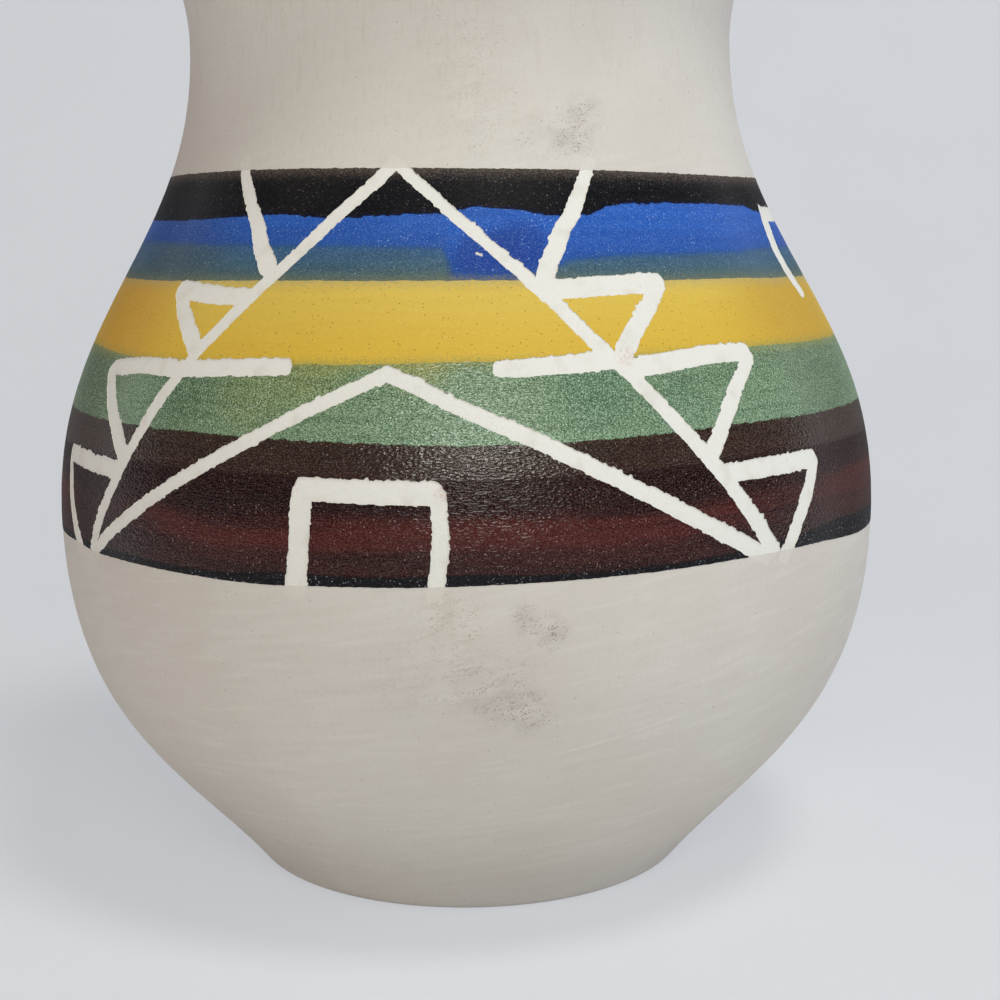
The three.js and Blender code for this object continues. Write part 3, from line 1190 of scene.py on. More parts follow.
@dataclass(frozen=True)
class ClayFinish:
    """Pale fired clay, smoothed by hand and left without glaze.

    Attributes:
        base: Its colour.
        warm: The warmer, darker tone of its clouds.
        pale: The paler tone of its brush marks, and of strokes of the tool over it.
        pit: The colour inside its pinholes.
        dust_and_shade: The colour of its grey smudge patches, and of the grey painted shade under the rim.
        rust_and_shade: The colour of its brownish smudge patches, and of the warm painted shade under the
            rim.
        slant: How much the marks of smoothing climb to the right, in degrees.
        neck: Between which heights those marks give way to upright ones.
        veil: How much a smudge darkens the clay evenly, and in specks.
        speck_slant: How much the rows of specks climb to the right, in degrees.
        crease: The two ends of a fine crease that the smoothing left.
        smudges_and_shade: Where it is smudged, and where shade under the rim is painted at the top of the
            front of the neck.
    """

    base: Colour = tone(206, 201, 192)
    warm: Colour = tone(198, 189, 178)
    pale: Colour = tone(219, 214, 204)
    pit: Colour = tone(120, 106, 94)
    dust_and_shade: Colour = tone(118, 109, 99)
    rust_and_shade: Colour = tone(150, 122, 98)
    slant: float = 9.0
    neck: Place = (82.0, 90.0)
    veil: Place = (0.2, 0.75)
    speck_slant: float = 22.0
    crease: tuple[Place, Place] = ((9.5, 24.3), (28.8, 27.9))
    smudges_and_shade: tuple[Smudge, ...] = (
        Smudge(19.5, 88.5, 3.4, 0.9),
        Smudge(22.5, 91.5, 3.2, 0.8),
        Smudge(14.0, 88.5, 4.5, 0.4),
        # These two are painted shade under the overhanging rim at the top of the front of the neck, warm at
        # the top
        Smudge(2.0, 99.0, 9.0, 0.3, True),
        Smudge(2.0, 91.0, 8.0, 0.3),
        Smudge(6.3, 40.3, 2.2, 1.0),
        Smudge(9.4, 38.8, 2.8, 1.1),
        Smudge(7.4, 30.0, 3.6, 1.0),
        Smudge(4.4, 30.6, 5.0, 0.6),
        Smudge(5.5, 35.5, 5.0, 0.35),
        Smudge(1.0, 33.0, 5.0, 0.5),
        Smudge(-1.5, 40.2, 5.0, 0.7, True),
        Smudge(-6.0, 34.0, 9.0, 0.3),
        Smudge(150.0, 30.0, 7.0, 0.6),
        Smudge(-120.0, 95.0, 6.0, 0.6),
        Smudge(-150.0, 24.0, 6.0, 0.5, True),
    )

    def dress(self, form: VaseForm) -> bpy.types.Material:
        """Makes the material.

        Args:
            form: The form whose places the smudge patches and the painted shade take.

        Returns:
            The material.
        """
        nodes = Nodes("fired_clay", self.base)
        nodes.lay(self.warm, nodes.between(nodes.noise(22.0, 2.0), 0.4, 0.7, 0.0, 0.5))
        smoothed = nodes.noise(0.7, 4.0, (11.0, 1.0), shift=0.31, slant=self.slant)
        upright = nodes.noise(0.45, 3.0, (1.0, 9.0), shift=0.57)
        neck = nodes.between(nodes.height(), self.neck[0] * MM, self.neck[1] * MM)
        on_belly, on_neck = (nodes.between(neck, 0.0, 1.0, *ends) for ends in ((0.3, 0.1), (0.2, 0.5)))
        for most, marks, low, high, other in (
            (on_belly, smoothed, 0.5, 0.72, self.pale),
            (on_belly, smoothed, 0.48, 0.3, self.warm),
            (on_neck, upright, 0.52, 0.72, self.warm),
        ):
            nodes.lay(other, most, nodes.between(marks, low, high))
        grain = nodes.noise(0.28, 3.0, (1.5, 1.0), shift=0.12)
        nodes.lay(self.warm, nodes.between(grain, 0.45, 0.75, 0.0, 0.3))
        nodes.lay(self.pale, nodes.attribute("scuffed"), 0.3)
        self.smudge(nodes, form)
        pits = nodes.specks(apart=0.9, size=0.15, shift=0.44, kept=0.3)
        nodes.lay(self.pit, pits, 0.75)
        crease = nodes.line(*(form.spot(*end) for end in self.crease), width=0.6)
        nodes.lay(self.pale, crease, 0.4)
        nodes.bump(smoothed, 0.03)
        nodes.bump(crease, 0.05)
        nodes.bump(grain, 0.022)
        nodes.bump(nodes.math("SUBTRACT", 1.0, pits), 0.05)
        return nodes.finish(nodes.between(grain, 0.3, 0.7, 0.6, 0.75), 0.3)

    def smudge(self, nodes: Nodes, form: VaseForm) -> None:
        """Rubs each smudge patch into the clay, as fine specks in short slanting rows, and so lays the
        painted shade under the rim.

        Args:
            nodes: The material's nodes.
            form: The form whose places they take.
        """
        specks = nodes.noise(0.16, 2.0, (1.6, 1.0), shift=0.83, slant=self.speck_slant)
        rows = nodes.noise(0.7, 3.0, (3.0, 1.0), shift=0.65, slant=self.speck_slant)
        dusty = nodes.times(nodes.between(specks, 0.52, 0.66), nodes.between(rows, 0.38, 0.6))
        haze = nodes.noise(1.6, 3.0, (1.6, 1.0), shift=0.36)
        for smudge in self.smudges_and_shade:
            near = nodes.near(form.spot(smudge.angle, smudge.z), smudge.reach, 0.15)
            dust_and_shade = self.rust_and_shade if smudge.warm else self.dust_and_shade
            even, specked = (share * smudge.strength for share in self.veil)
            nodes.lay(dust_and_shade, near, nodes.between(haze, 0.35, 0.7, 0.0, even))
            nodes.lay(dust_and_shade, near, dusty, specked)


@dataclass(frozen=True)
class CutClayFinish:
    """Freshly scratched clay, whiter than the skin and a little uneven.

    Attributes:
        base: Its colour.
        worn: A duller tone, in patches.
        mark: The colour of tiny marks in it.
        stain: The faint red of a few stains.
        stains: Where those are.
    """

    base: Colour = tone(225, 223, 215)
    worn: Colour = tone(212, 206, 195)
    mark: Colour = tone(126, 110, 100)
    stain: Colour = tone(196, 140, 122)
    stains: tuple[Smudge, ...] = (
        Smudge(-20.8, 53.4, 1.3, 0.3),
        Smudge(-3.0, 53.0, 1.2, 0.3),
        Smudge(21.0, 66.0, 1.5, 0.3),
    )

    def dress(self, form: VaseForm) -> bpy.types.Material:
        """Makes the material.

        Args:
            form: The form whose places the stains take.

        Returns:
            The material.
        """
        nodes = Nodes("cut_clay", self.base)
        nodes.lay(self.worn, nodes.between(nodes.noise(2.4, 3.0, shift=0.9), 0.5, 0.75, 0.0, 0.6))
        grain = nodes.noise(0.3, 3.0, shift=0.22)
        nodes.lay(self.worn, nodes.between(grain, 0.5, 0.75, 0.0, 0.35))
        nodes.lay(self.mark, nodes.specks(apart=1.1, size=0.15, shift=0.27, kept=0.25), 0.6)
        fine = nodes.noise(0.35, 2.0, shift=0.4)
        for stain in self.stains:
            near = nodes.near(form.spot(stain.angle, stain.z), stain.reach)
            nodes.lay(self.stain, near, nodes.between(fine, 0.42, 0.62, 0.0, stain.strength))
        nodes.bump(grain, 0.04)
        return nodes.finish(0.72, 0.3)


@dataclass(frozen=True)
class Meeting:
    """How a colour meets its neighbour, grain by grain.

    Attributes:
        colour: The neighbour's colour there.
        reach: How far its grains stray over the edge.
        soft: How softly the grains fade, where 0 would be sharp.
    """

    colour: Colour
    reach: float
    soft: float


@dataclass(frozen=True)
class Cloud:
    """A patch where a band's colour is another one: a tint of the paint, painted shade or a painted sheen.

    Attributes:
        angle: Where its middle is, in degrees.
        z: How high its middle is.
        reach: How far it spreads.
        colour: Its colour.
        strength: How much of it shows.
        inner: The share of its reach in which all of that shows.
    """

    angle: float
    z: float
    reach: float
    colour: Colour
    strength: float
    inner: float = 0.2


@dataclass(frozen=True)
class Stripe:
    """A level stripe that the brush left in a band, with soft edges.

    Attributes:
        rise: How far its middle lies above the band's lower edge.
        reach: How far it spreads up and down.
        colour: Its colour.
        strength: How much of it shows.
    """

    rise: float
    reach: float
    colour: Colour
    strength: float


@dataclass(frozen=True)
class Grain:
    """The fine leathery grain that firing gave a paint.

    Attributes:
        depth: How high its ridges are, in mm.
        size: How wide they are, in mm.
        dark: How much darker the colour is in fine dark grains.
        pale: How much paler it is in fine pale grains, which on the maroon, brown and green stand partly
            for painted glints.
        flecks_and_glints: How much its pale specks show, partly painted glints on the maroon, brown and
            green.
        kept: The share of places that have a pale speck.
        pinholes: How much its dark pinholes show.
    """

    depth: float
    size: float
    dark: float
    pale: float
    flecks_and_glints: float
    kept: float
    pinholes: float = 0.0


@dataclass(frozen=True)
class PaintFinish:
    """Satin paint, brushed round the vase and fired.

    Attributes:
        low: Its colour at the lower edge.
        high: Its colour at the upper edge.
        streak: The colour of the level streaks that the brush left.
        fleck_and_glint: The colour of its pale specks and grains, partly painted glints on the maroon,
            brown and green.
        rise: How high the band is, from edge to edge.
        grain: Its grain.
        streaked: How much the streaks show.
        streak_rise: How high a streak is.
        roughness: Of the satin surface.
        gloss: How strongly the surface mirrors, where 0.5 is usual.
        edge_on: Its roughness where it is seen edge on.
        pinhole: The colour of its pinholes.
        below: How it meets the colour under it.
        over: How it meets the colour over it.
        stripes: Its level stripes.
        clouds: Its patches of another colour, among them painted shade towards the sides of the front and a
            painted sheen on the black.
    """

    low: Colour
    high: Colour
    streak: Colour
    fleck_and_glint: Colour
    rise: float
    grain: Grain
    streaked: float = 0.4
    streak_rise: float = 0.7
    roughness: float = 0.4
    gloss: float = 0.25
    edge_on: float = 0.7
    pinhole: Colour = tone(96, 72, 34)
    below: Meeting | None = None
    over: Meeting | None = None
    stripes: tuple[Stripe, ...] = ()
    clouds: tuple[Cloud, ...] = ()

    def dress(self, name: str, form: VaseForm) -> bpy.types.Material:
        """Makes the material.

        Args:
            name: The material's name.
            form: The form whose places the patches take.

        Returns:
            The material.
        """
        nodes = Nodes(name, self.low)
        up = nodes.attribute("above_low")
        down = nodes.attribute("below_high")
        drift = nodes.noise(9.0, 3.0, (2.0, 1.0), shift=0.66)
        stray = 0.05 * self.rise
        level = nodes.math("ADD", up, nodes.between(drift, 0.3, 0.7, -stray, stray))
        nodes.lay(self.high, nodes.between(level, stray, self.rise - stray))
        for stripe in self.stripes:
            off = nodes.math("ABSOLUTE", nodes.math("SUBTRACT", level, stripe.rise))
            share = nodes.between(off, stripe.reach, 0.2 * stripe.reach, 0.0, stripe.strength)
            nodes.lay(stripe.colour, share)
        # Patches of another colour, some of them painted shade towards the sides of the front and one a
        # painted sheen
        for cloud in self.clouds:
            near = nodes.near(form.spot(cloud.angle, cloud.z), cloud.reach, cloud.inner)
            nodes.lay(cloud.colour, near, cloud.strength)
        brushed = nodes.noise(self.streak_rise, 3.0, (16.0, 1.0), shift=0.21)
        nodes.lay(self.streak, nodes.between(brushed, 0.44, 0.66, 0.0, self.streaked))
        self.roughen(nodes)
        scatter = nodes.noise(0.17, 2.0, (1.2, 1.0), shift=0.95)
        if self.over is not None:
            self.meet(nodes, self.over, down, scatter)
        if self.below is not None:
            self.meet(nodes, self.below, up, nodes.math("SUBTRACT", 1.0, scatter))
        ridges = nodes.noise(self.grain.size, 0.0, (2.1, 1.0), shift=0.08)
        nodes.bump(ridges, self.grain.depth)
        roughness = nodes.between(ridges, 0.3, 0.7, self.roughness + 0.06, self.roughness)
        roughness = nodes.math("MAXIMUM", roughness, nodes.grazing(0.3, 0.75, self.edge_on))
        return nodes.finish(roughness, self.gloss)

    def roughen(self, nodes: Nodes) -> None:
        """Lays the light and dark of the grain, the pale specks and the pinholes over the colour; on the
        maroon, brown and green the pale grains and specks are partly painted glints.

        Args:
            nodes: The material's nodes.
        """
        grain = self.grain
        fine = nodes.noise(0.12, 1.0, (1.3, 1.0), shift=0.37)
        nodes.lay(self.streak, nodes.between(fine, 0.52, 0.34, 0.0, grain.dark))
        # Pale grains and specks: partly painted glints of the satin on the maroon, brown and green
        nodes.lay(self.fleck_and_glint, nodes.between(fine, 0.5, 0.68, 0.0, grain.pale))
        flecks_and_glints = nodes.specks(apart=0.34, size=0.16, shift=0.73, kept=grain.kept)
        patchy = nodes.between(nodes.noise(2.6, 2.0, (1.6, 1.0), shift=0.47), 0.4, 0.6, 0.35, 1.0)
        nodes.lay(self.fleck_and_glint, flecks_and_glints, patchy, grain.flecks_and_glints)
        nodes.lay(self.pinhole, nodes.specks(apart=0.5, size=0.16, shift=0.51, kept=0.5), grain.pinholes)

    @staticmethod
    def meet(nodes: Nodes, meeting: Meeting, distance: Socket, scatter: Socket) -> None:
        """Strews a neighbour's grains over the colour, most at the edge between the two.

        Args:
            nodes: The material's nodes.
            meeting: How the two meet.
            distance: How far away the edge is, in mm.
            scatter: The noise that places the grains, the same one on both sides of the edge.
        """
        # The noise seldom strays further than this from its middle, 0.5
        span = 0.3
        limit = nodes.math("MULTIPLY_ADD", distance, -span / meeting.reach, 0.5)
        over = nodes.math("SUBTRACT", limit, scatter)
        nodes.lay(meeting.colour, nodes.between(over, -0.5 * meeting.soft, 0.5 * meeting.soft))


@dataclass(frozen=True)
class GlazeFinish:
    """Clear glossy glaze over the pale clay of the inside.

    Attributes:
        base: Its colour.
        pooled: The deeper tone where it ran together.
        speck: The colour of the specks in it.
        roughness: Of its gloss.
    """

    base: Colour = tone(214, 207, 192)
    pooled: Colour = tone(196, 186, 166)
    speck: Colour = tone(140, 120, 96)
    roughness: float = 0.14

    def dress(self) -> bpy.types.Material:
        """Makes the material and returns it."""
        nodes = Nodes("lining_glaze", self.base)
        nodes.lay(self.pooled, nodes.between(nodes.noise(11.0, 3.0), 0.4, 0.7))
        nodes.lay(self.speck, nodes.specks(apart=2.3, size=0.3, shift=0.4, kept=0.3), 0.4)
        nodes.bump(nodes.noise(2.5, 2.0), 0.03)
        return nodes.finish(self.roughness)


@dataclass(frozen=True)
class StageFinish:
    """The matt pale surface that the vase stands on and in front of.

    Attributes:
        base: Its colour.
        other: A tone of very faint clouds in it.
        glow: The colour that it shows the camera by itself.
        share: The share of that colour.
    """

    base: Colour = tone(236, 237, 238)
    other: Colour = tone(233, 234, 235)
    glow: Colour = tone(214, 217, 223)
    share: float = 0.6

    def dress(self) -> bpy.types.Material:
        """Makes the material and returns it."""
        nodes = Nodes("studio_paper", self.base)
        nodes.lay(self.other, nodes.between(nodes.noise(60.0, 2.0), 0.35, 0.65))
        nodes.bump(nodes.noise(0.8, 3.0), 0.02)
        nodes.glow(self.glow, self.share)
        return nodes.finish(0.85, 0.2)


DEEP_BLUE = tone(26, 58, 136)
# On the maroon and brown its pale specks and grains are partly painted glints
LEATHERY = Grain(depth=0.085, size=0.19, dark=0.4, pale=0.12, flecks_and_glints=0.55, kept=0.3)

PAINTS: dict[Paint, PaintFinish] = {
    Paint.DARK_EDGE: PaintFinish(
        low=tone(16, 15, 18),
        high=tone(17, 15, 17),
        streak=tone(9, 9, 11),
        fleck_and_glint=tone(150, 154, 164),
        rise=1.4,
        roughness=0.24,
        gloss=0.15,
        grain=Grain(depth=0.06, size=0.19, dark=0.2, pale=0.06, flecks_and_glints=0.9, kept=0.9),
        over=Meeting(tone(40, 16, 14), 0.35, 0.25),
    ),
    Paint.MAROON: PaintFinish(
        low=tone(46, 17, 15),
        high=tone(28, 8, 9),
        streak=tone(20, 6, 7),
        fleck_and_glint=tone(188, 150, 140),
        rise=9.2,
        streaked=0.5,
        streak_rise=1.5,
        roughness=0.18,
        gloss=0.26,
        grain=LEATHERY,
        below=Meeting(tone(17, 15, 17), 0.35, 0.25),
        over=Meeting(tone(44, 29, 24), 0.9, 0.5),
        stripes=(Stripe(4.2, 2.6, tone(76, 28, 23), 0.9), Stripe(1.6, 0.7, tone(58, 24, 20), 0.5)),
        clouds=(
            # Both are painted shade, darker towards the two sides of the front
            Cloud(-54.0, 50.0, 15.0, tone(26, 10, 9), 0.75),
            Cloud(44.0, 51.0, 12.0, tone(38, 15, 14), 0.6),
        ),
    ),
    Paint.BROWN: PaintFinish(
        low=tone(50, 30, 23),
        high=tone(50, 34, 26),
        streak=tone(24, 15, 12),
        fleck_and_glint=tone(180, 160, 140),
        rise=3.8,
        roughness=0.18,
        gloss=0.6,
        grain=LEATHERY,
        below=Meeting(tone(34, 14, 13), 0.9, 0.5),
        over=Meeting(tone(104, 126, 98), 0.14, 0.15),
    ),
    Paint.GREEN: PaintFinish(
        low=tone(114, 141, 110),
        high=tone(106, 132, 98),
        streak=tone(58, 80, 58),
        fleck_and_glint=tone(184, 204, 176),
        rise=7.8,
        streaked=0.35,
        roughness=0.2,
        gloss=0.45,
        grain=Grain(depth=0.09, size=0.2, dark=0.75, pale=0.6, flecks_and_glints=0.85, kept=0.45),
        below=Meeting(tone(40, 28, 23), 0.14, 0.15),
        over=Meeting(tone(150, 148, 76), 1.0, 0.7),
        clouds=(
            Cloud(-6.0, 66.2, 5.0, tone(146, 144, 72), 0.8),
            Cloud(-20.0, 65.4, 7.0, tone(130, 140, 80), 0.9),
            Cloud(-28.0, 62.5, 7.0, tone(120, 130, 74), 0.6),
            # The next two are painted shade, darker towards the two sides of the front
            Cloud(-64.0, 62.0, 12.0, tone(62, 76, 46), 0.8),
            Cloud(60.0, 62.0, 15.0, tone(84, 106, 74), 0.85),
            Cloud(16.0, 63.5, 7.0, tone(84, 118, 94), 0.7),
            Cloud(27.0, 62.0, 6.0, tone(90, 120, 94), 0.5),
            Cloud(-40.0, 61.5, 7.0, tone(80, 104, 74), 0.7),
        ),
    ),
    Paint.YELLOW: PaintFinish(
        low=tone(210, 173, 62),
        high=tone(212, 182, 82),
        streak=tone(200, 160, 60),
        fleck_and_glint=tone(230, 206, 112),
        rise=8.2,
        streaked=0.15,
        roughness=0.5,
        grain=Grain(depth=0.04, size=0.22, dark=0.12, pale=0.16, flecks_and_glints=0.6, kept=0.25, pinholes=0.85),
        below=Meeting(tone(136, 142, 80), 0.9, 0.7),
        over=Meeting(tone(158, 154, 118), 0.9, 0.9),
        clouds=(
            # Both are painted shade, a deeper ochre towards the two sides of the front
            Cloud(60.0, 70.0, 20.0, tone(188, 148, 50), 0.8),
            Cloud(-62.0, 70.0, 18.0, tone(196, 146, 44), 0.8),
        ),
    ),
    Paint.TEAL: PaintFinish(
        low=tone(68, 94, 98),
        high=tone(56, 92, 128),
        streak=tone(46, 70, 88),
        fleck_and_glint=tone(170, 192, 200),
        rise=3.6,
        streaked=0.25,
        grain=Grain(depth=0.05, size=0.22, dark=0.4, pale=0.16, flecks_and_glints=0.75, kept=0.3),
        below=Meeting(tone(124, 122, 84), 0.9, 0.8),
        over=Meeting(tone(36, 76, 144), 0.5, 0.7),
        clouds=(
            Cloud(3.7, 75.6, 5.0, DEEP_BLUE, 0.85, 0.7),
            Cloud(9.0, 75.0, 4.0, DEEP_BLUE, 0.5, 0.4),
            # Painted shade, darker towards the left
            Cloud(-52.0, 75.5, 12.0, tone(54, 70, 74), 0.6),
        ),
    ),
    Paint.BLUE: PaintFinish(
        low=tone(38, 82, 160),
        high=tone(40, 92, 178),
        streak=tone(26, 62, 138),
        fleck_and_glint=tone(176, 200, 236),
        rise=3.6,
        streaked=0.25,
        gloss=0.22,
        grain=Grain(depth=0.05, size=0.22, dark=0.4, pale=0.14, flecks_and_glints=0.75, kept=0.3),
        below=Meeting(tone(44, 82, 126), 0.5, 0.7),
        over=Meeting(tone(48, 72, 128), 0.25, 0.4),
        clouds=(
            Cloud(3.6, 75.7, 4.7, DEEP_BLUE, 0.8, 0.6),
            Cloud(8.5, 77.0, 4.4, DEEP_BLUE, 0.8, 0.4),
            # Painted shade, darker towards the left
            Cloud(-54.0, 79.0, 13.0, tone(30, 62, 128), 0.6),
        ),
    ),
    Paint.BLACK: PaintFinish(
        low=tone(11, 11, 16),
        high=tone(16, 16, 19),
        streak=tone(28, 26, 27),
        fleck_and_glint=tone(122, 120, 122),
        rise=4.5,
        streaked=0.3,
        gloss=0.14,
        grain=Grain(depth=0.03, size=0.22, dark=0.2, pale=0.1, flecks_and_glints=0.7, kept=0.4),
        below=Meeting(tone(20, 30, 70), 0.4, 0.5),
        over=Meeting(tone(112, 100, 90), 1.1, 0.8),
        clouds=(
            # Paler patches near the top of the band; the one at the front is a painted sheen of the top
            # lamp
            Cloud(8.0, 84.5, 8.0, tone(34, 31, 32), 0.5),
            Cloud(-26.0, 85.0, 8.0, tone(30, 28, 28), 0.5),
        ),
    ),
}


@dataclass
class ClayBody:
    """The turned and fired clay, with the floors of the scratches cut into its belt.

    Attributes:
        form: The form of the vase.
        belt: The painted belt, which its outside follows there.
        scratch_depth: How deep the tool went into the clay under the paint.
        bare_depth: How deep it went where it ran out past the paint.
        uneven: How much the depth strays from that, as a share.
        seed: What that grows from.
        step: How far apart its rings are on the outside.
        inside_step: The same on the inside.
        foot_step: The same under the foot.
        lip_step: How far apart its rings are on the lip, in degrees.
        scuffed: The points where the tool went over bare clay.
    """

    form: VaseForm
    belt: Belt
    scratch_depth: float = 0.06
    bare_depth: float = 0.015
    uneven: float = 0.12
    seed: int = 7
    step: float = 1.5
    inside_step: float = 3.0
    foot_step: float = 6.0
    lip_step: float = 10.0
    scuffed: np.ndarray = field(init=False)

    def rings(self, maker: MeshMaker, profile: Sequence[Place]) -> list[np.ndarray]:
        """Turns a profile round the axis.

        Args:
            maker: Where the points go.
            profile: Its radii and heights.

        Returns:
            The numbers of each ring's points.
        """
        angles = Belt.SEAM + np.arange(self.belt.columns) * 360 / self.belt.columns
        ones = np.ones(len(angles))
        return [maker.points(self.form.turn(angles, radius * ones, z * ones)) for radius, z in profile]

    def build(self, maker: MeshMaker) -> None:
        """Builds the closed body along its profile, from the foot over the lip to the floor.

        Args:
            maker: Where its points and faces go.
        """
        form = self.form
        flat = form.foot_radius - form.foot_round
        wall_start = form.wall_point(form.foot_round, 0.0)
        foot = corner((flat, 0.0), (form.foot_radius, 0.0), wall_start)
        low = [form.wall_point(z, 0.0) for z in steps(form.foot_round, Belt.BOTTOM, self.step)[1:-1]]
        end = form.wall_end[1]
        high = [form.wall_point(z, 0.0) for z in steps(Belt.TOP, end, self.step)[1:-1]]
        turns = steps(form.rim_slope - 90, form.rim_slope + 90, self.lip_step)
        lip = [form.lip_point(turn) for turn in turns]
        inner = form.inside(form.wall, form.floor, end, self.inside_step)[:-1][::-1]
        base = [(radius, 0.0) for radius in steps(0.0, flat, self.foot_step)[1:-1]]
        under = self.rings(maker, base + foot + low)
        over = self.rings(maker, high + lip + inner[:-1])
        centres = maker.points(np.array([[0.0, 0.0, 0.0], [0.0, 0.0, form.floor]]))
        surface = self.build_belt(maker)
        under.append(surface[self.belt.ring(Belt.BOTTOM)])
        over.insert(0, surface[self.belt.ring(Belt.TOP)])
        maker.cap(int(centres[0]), under[0], True)
        maker.sleeves(under)
        maker.sleeves(over)
        maker.cap(int(centres[1]), over[-1], False)

    def build_belt(self, maker: MeshMaker) -> np.ndarray:
        """Builds the clay under the paint, with the scratches cut into it.

        Args:
            maker: Where its points and faces go.

        Returns:
            The number in the piece of each of the belt's points, at the level of the clay.
        """
        belt, form = self.belt, self.form
        painted = (belt.band >= 0) & (belt.band < len(Paint))
        depth = np.zeros(len(belt.z))
        for face_set, deep in ((~painted, self.bare_depth), (painted, self.scratch_depth)):
            depth[np.unique(belt.faces[belt.scratched & face_set])] = deep
        uneven = np.random.default_rng(self.seed).normal(0, self.uneven, len(depth))
        surface = maker.points(form.on_wall(belt.angle, belt.z, 0.0))
        floors = maker.points(form.on_wall(belt.angle, belt.z, depth * (1 + uneven)))
        normals = form.wall_normals(belt.angle, belt.z)
        whole = belt.faces[~belt.scratched]
        cut, bare = (belt.faces[belt.scratched & part] for part in (painted, ~painted))
        maker.add(surface[whole], normals=normals[whole])
        maker.add(floors[cut], slot=1, normals=normals[cut])
        maker.add(floors[bare], normals=normals[bare])
        sides = open_sides(whole)
        in_cut, in_bare = (np.isin(sides, np.unique(part)).all(axis=1) for part in (cut, bare))
        for inner, slot in ((in_cut, 1), (in_bare & ~in_cut, 0)):
            first, second = sides[inner].T
            walls = np.column_stack([floors[first], floors[second], surface[second], surface[first]])
            maker.add(walls, slot=slot, smooth=False)
        self.scuffed = floors[np.unique(bare)]
        return surface

    def dress(self) -> list[bpy.types.Material]:
        """Returns its two finishes, for its skin and for the scratches."""
        return [ClayFinish().dress(self.form), CutClayFinish().dress(self.form)]

    def make(self) -> bpy.types.Object:
        """Builds and dresses the body, and returns it."""
        maker = MeshMaker("fired_clay_body")
        self.build(maker)
        made = maker.build(self.dress())
        scuffed = np.zeros(maker.count, np.float32)
        scuffed[self.scuffed] = 1.0
        made.data.attributes.new("scuffed", "FLOAT", "POINT").data.foreach_set("value", scuffed)
        return made


@dataclass
class PaintBand:
    """One band of paint: a thin closed skin on the clay, cut through by the scratches.

    Attributes:
        paint: Which band it is.
        form: The form of the vase.
        belt: The painted belt.
        thickness: How thick the paint is.
    """

    paint: Paint
    form: VaseForm
    belt: Belt
    thickness: float = 0.035

    @property
    def name(self) -> str:
        """Returns the name of the piece."""
        return self.paint.word + "_paint_band"

    @property
    def node(self) -> str:
        """Returns the name of the node that it stands for."""
        return self.paint.word + "_band"

    def build(self, maker: MeshMaker) -> np.ndarray:
        """Builds the skin.

        Args:
            maker: Where its points and faces go.

        Returns:
            The belt's points that it uses, in the order in which the piece has them twice.
        """
        belt, form = self.belt, self.form
        mine = belt.faces[(belt.band == self.paint.value) & ~belt.scratched]
        used, faces = np.unique(mine, return_inverse=True)
        faces = faces.reshape(-1, 3)
        angle, z = belt.angle[used], belt.z[used]
        top = maker.points(form.on_wall(angle, z, -self.thickness))
        bottom = maker.points(form.on_wall(angle, z, 0.0))
        normals = form.wall_normals(angle, z)
        maker.add(top[faces], normals=normals[faces])
        turned = faces[:, ::-1]
        maker.add(bottom[turned], normals=-normals[turned])
        first, second = open_sides(faces).T
        walls = np.column_stack([bottom[first], bottom[second], top[second], top[first]])
        maker.add(walls, smooth=False)
        return used

    def make(self) -> bpy.types.Object:
        """Builds and dresses the band, and returns it."""
        maker = MeshMaker(self.name)
        used = self.build(maker)
        made = maker.build([PAINTS[self.paint].dress(self.paint.word + "_paint", self.form)])
        low = np.clip(self.belt.above(self.paint.value, used), 0, None)
        high = np.clip(-self.belt.above(self.paint.value + 1, used), 0, None)
        for name, values in (("above_low", low), ("below_high", high)):
            carried = made.data.attributes.new(name, "FLOAT", "POINT")
            carried.data.foreach_set("value", np.concatenate([values, values]).astype(np.float32))
        return made


@dataclass
class GlazeLining:
    """The glaze that lines the inside: a closed skin that ends in a soft bead under the rim.

    Attributes:
        form: The form of the vase.
        thickness: Of the glaze.
        columns: How many columns it has round the vase.
        step: How far apart its rings are.
        stray: How far its upper edge strays up and down.
        settle: Over what height the straying fades out.
        bead: How far the round of its upper edge is drawn up.
    """

    form: VaseForm
    thickness: float = 0.4
    columns: int = 180
    step: float = 3.0
    stray: float = 0.5
    settle: float = 12.0
    bead: float = 0.35

    def build(self, maker: MeshMaker) -> None:
        """Builds the skin.

        Args:
            maker: Where its points and faces go.
        """
        form = self.form
        top = form.lining_top
        outer = form.inside(form.wall, form.floor, top, self.step)
        inner = form.inside(form.wall + self.thickness, form.floor + self.thickness, top, self.step)
        bead = corner(outer[-1], (outer[-1][0], outer[-1][1] + self.bead), inner[-1], 4)[1:-1]
        profile = outer + bead + inner[::-1]
        last_radii, last_heights = zip(*outer[-6:])
        slides = np.gradient(last_radii)
        angles = np.arange(self.columns) * 360 / self.columns
        way = np.radians(angles)
        edge = np.sin(3 * way + 0.5) + 0.6 * np.sin(7 * way + 2.0) + 0.3 * np.sin(16 * way)
        rings = []
        for radius, z in profile[1:-1]:
            near_top = ease(np.array((z - (top - self.settle)) / self.settle))
            level = z + self.stray * edge * near_top
            slope = float(np.interp(z, last_heights, slides)) / self.step * near_top
            rings.append(maker.points(form.turn(angles, radius + slope * (level - z), level)))
        ends = maker.points(np.array([[0.0, 0.0, profile[0][1]], [0.0, 0.0, profile[-1][1]]]))
        maker.cap(int(ends[0]), rings[0], True)
        maker.sleeves(rings)
        maker.cap(int(ends[1]), rings[-1], False)

    def make(self) -> bpy.types.Object:
        """Builds and dresses the lining, and returns it."""
        maker = MeshMaker("poured_glaze_lining")
        self.build(maker)
        return maker.build([GlazeFinish().dress()])


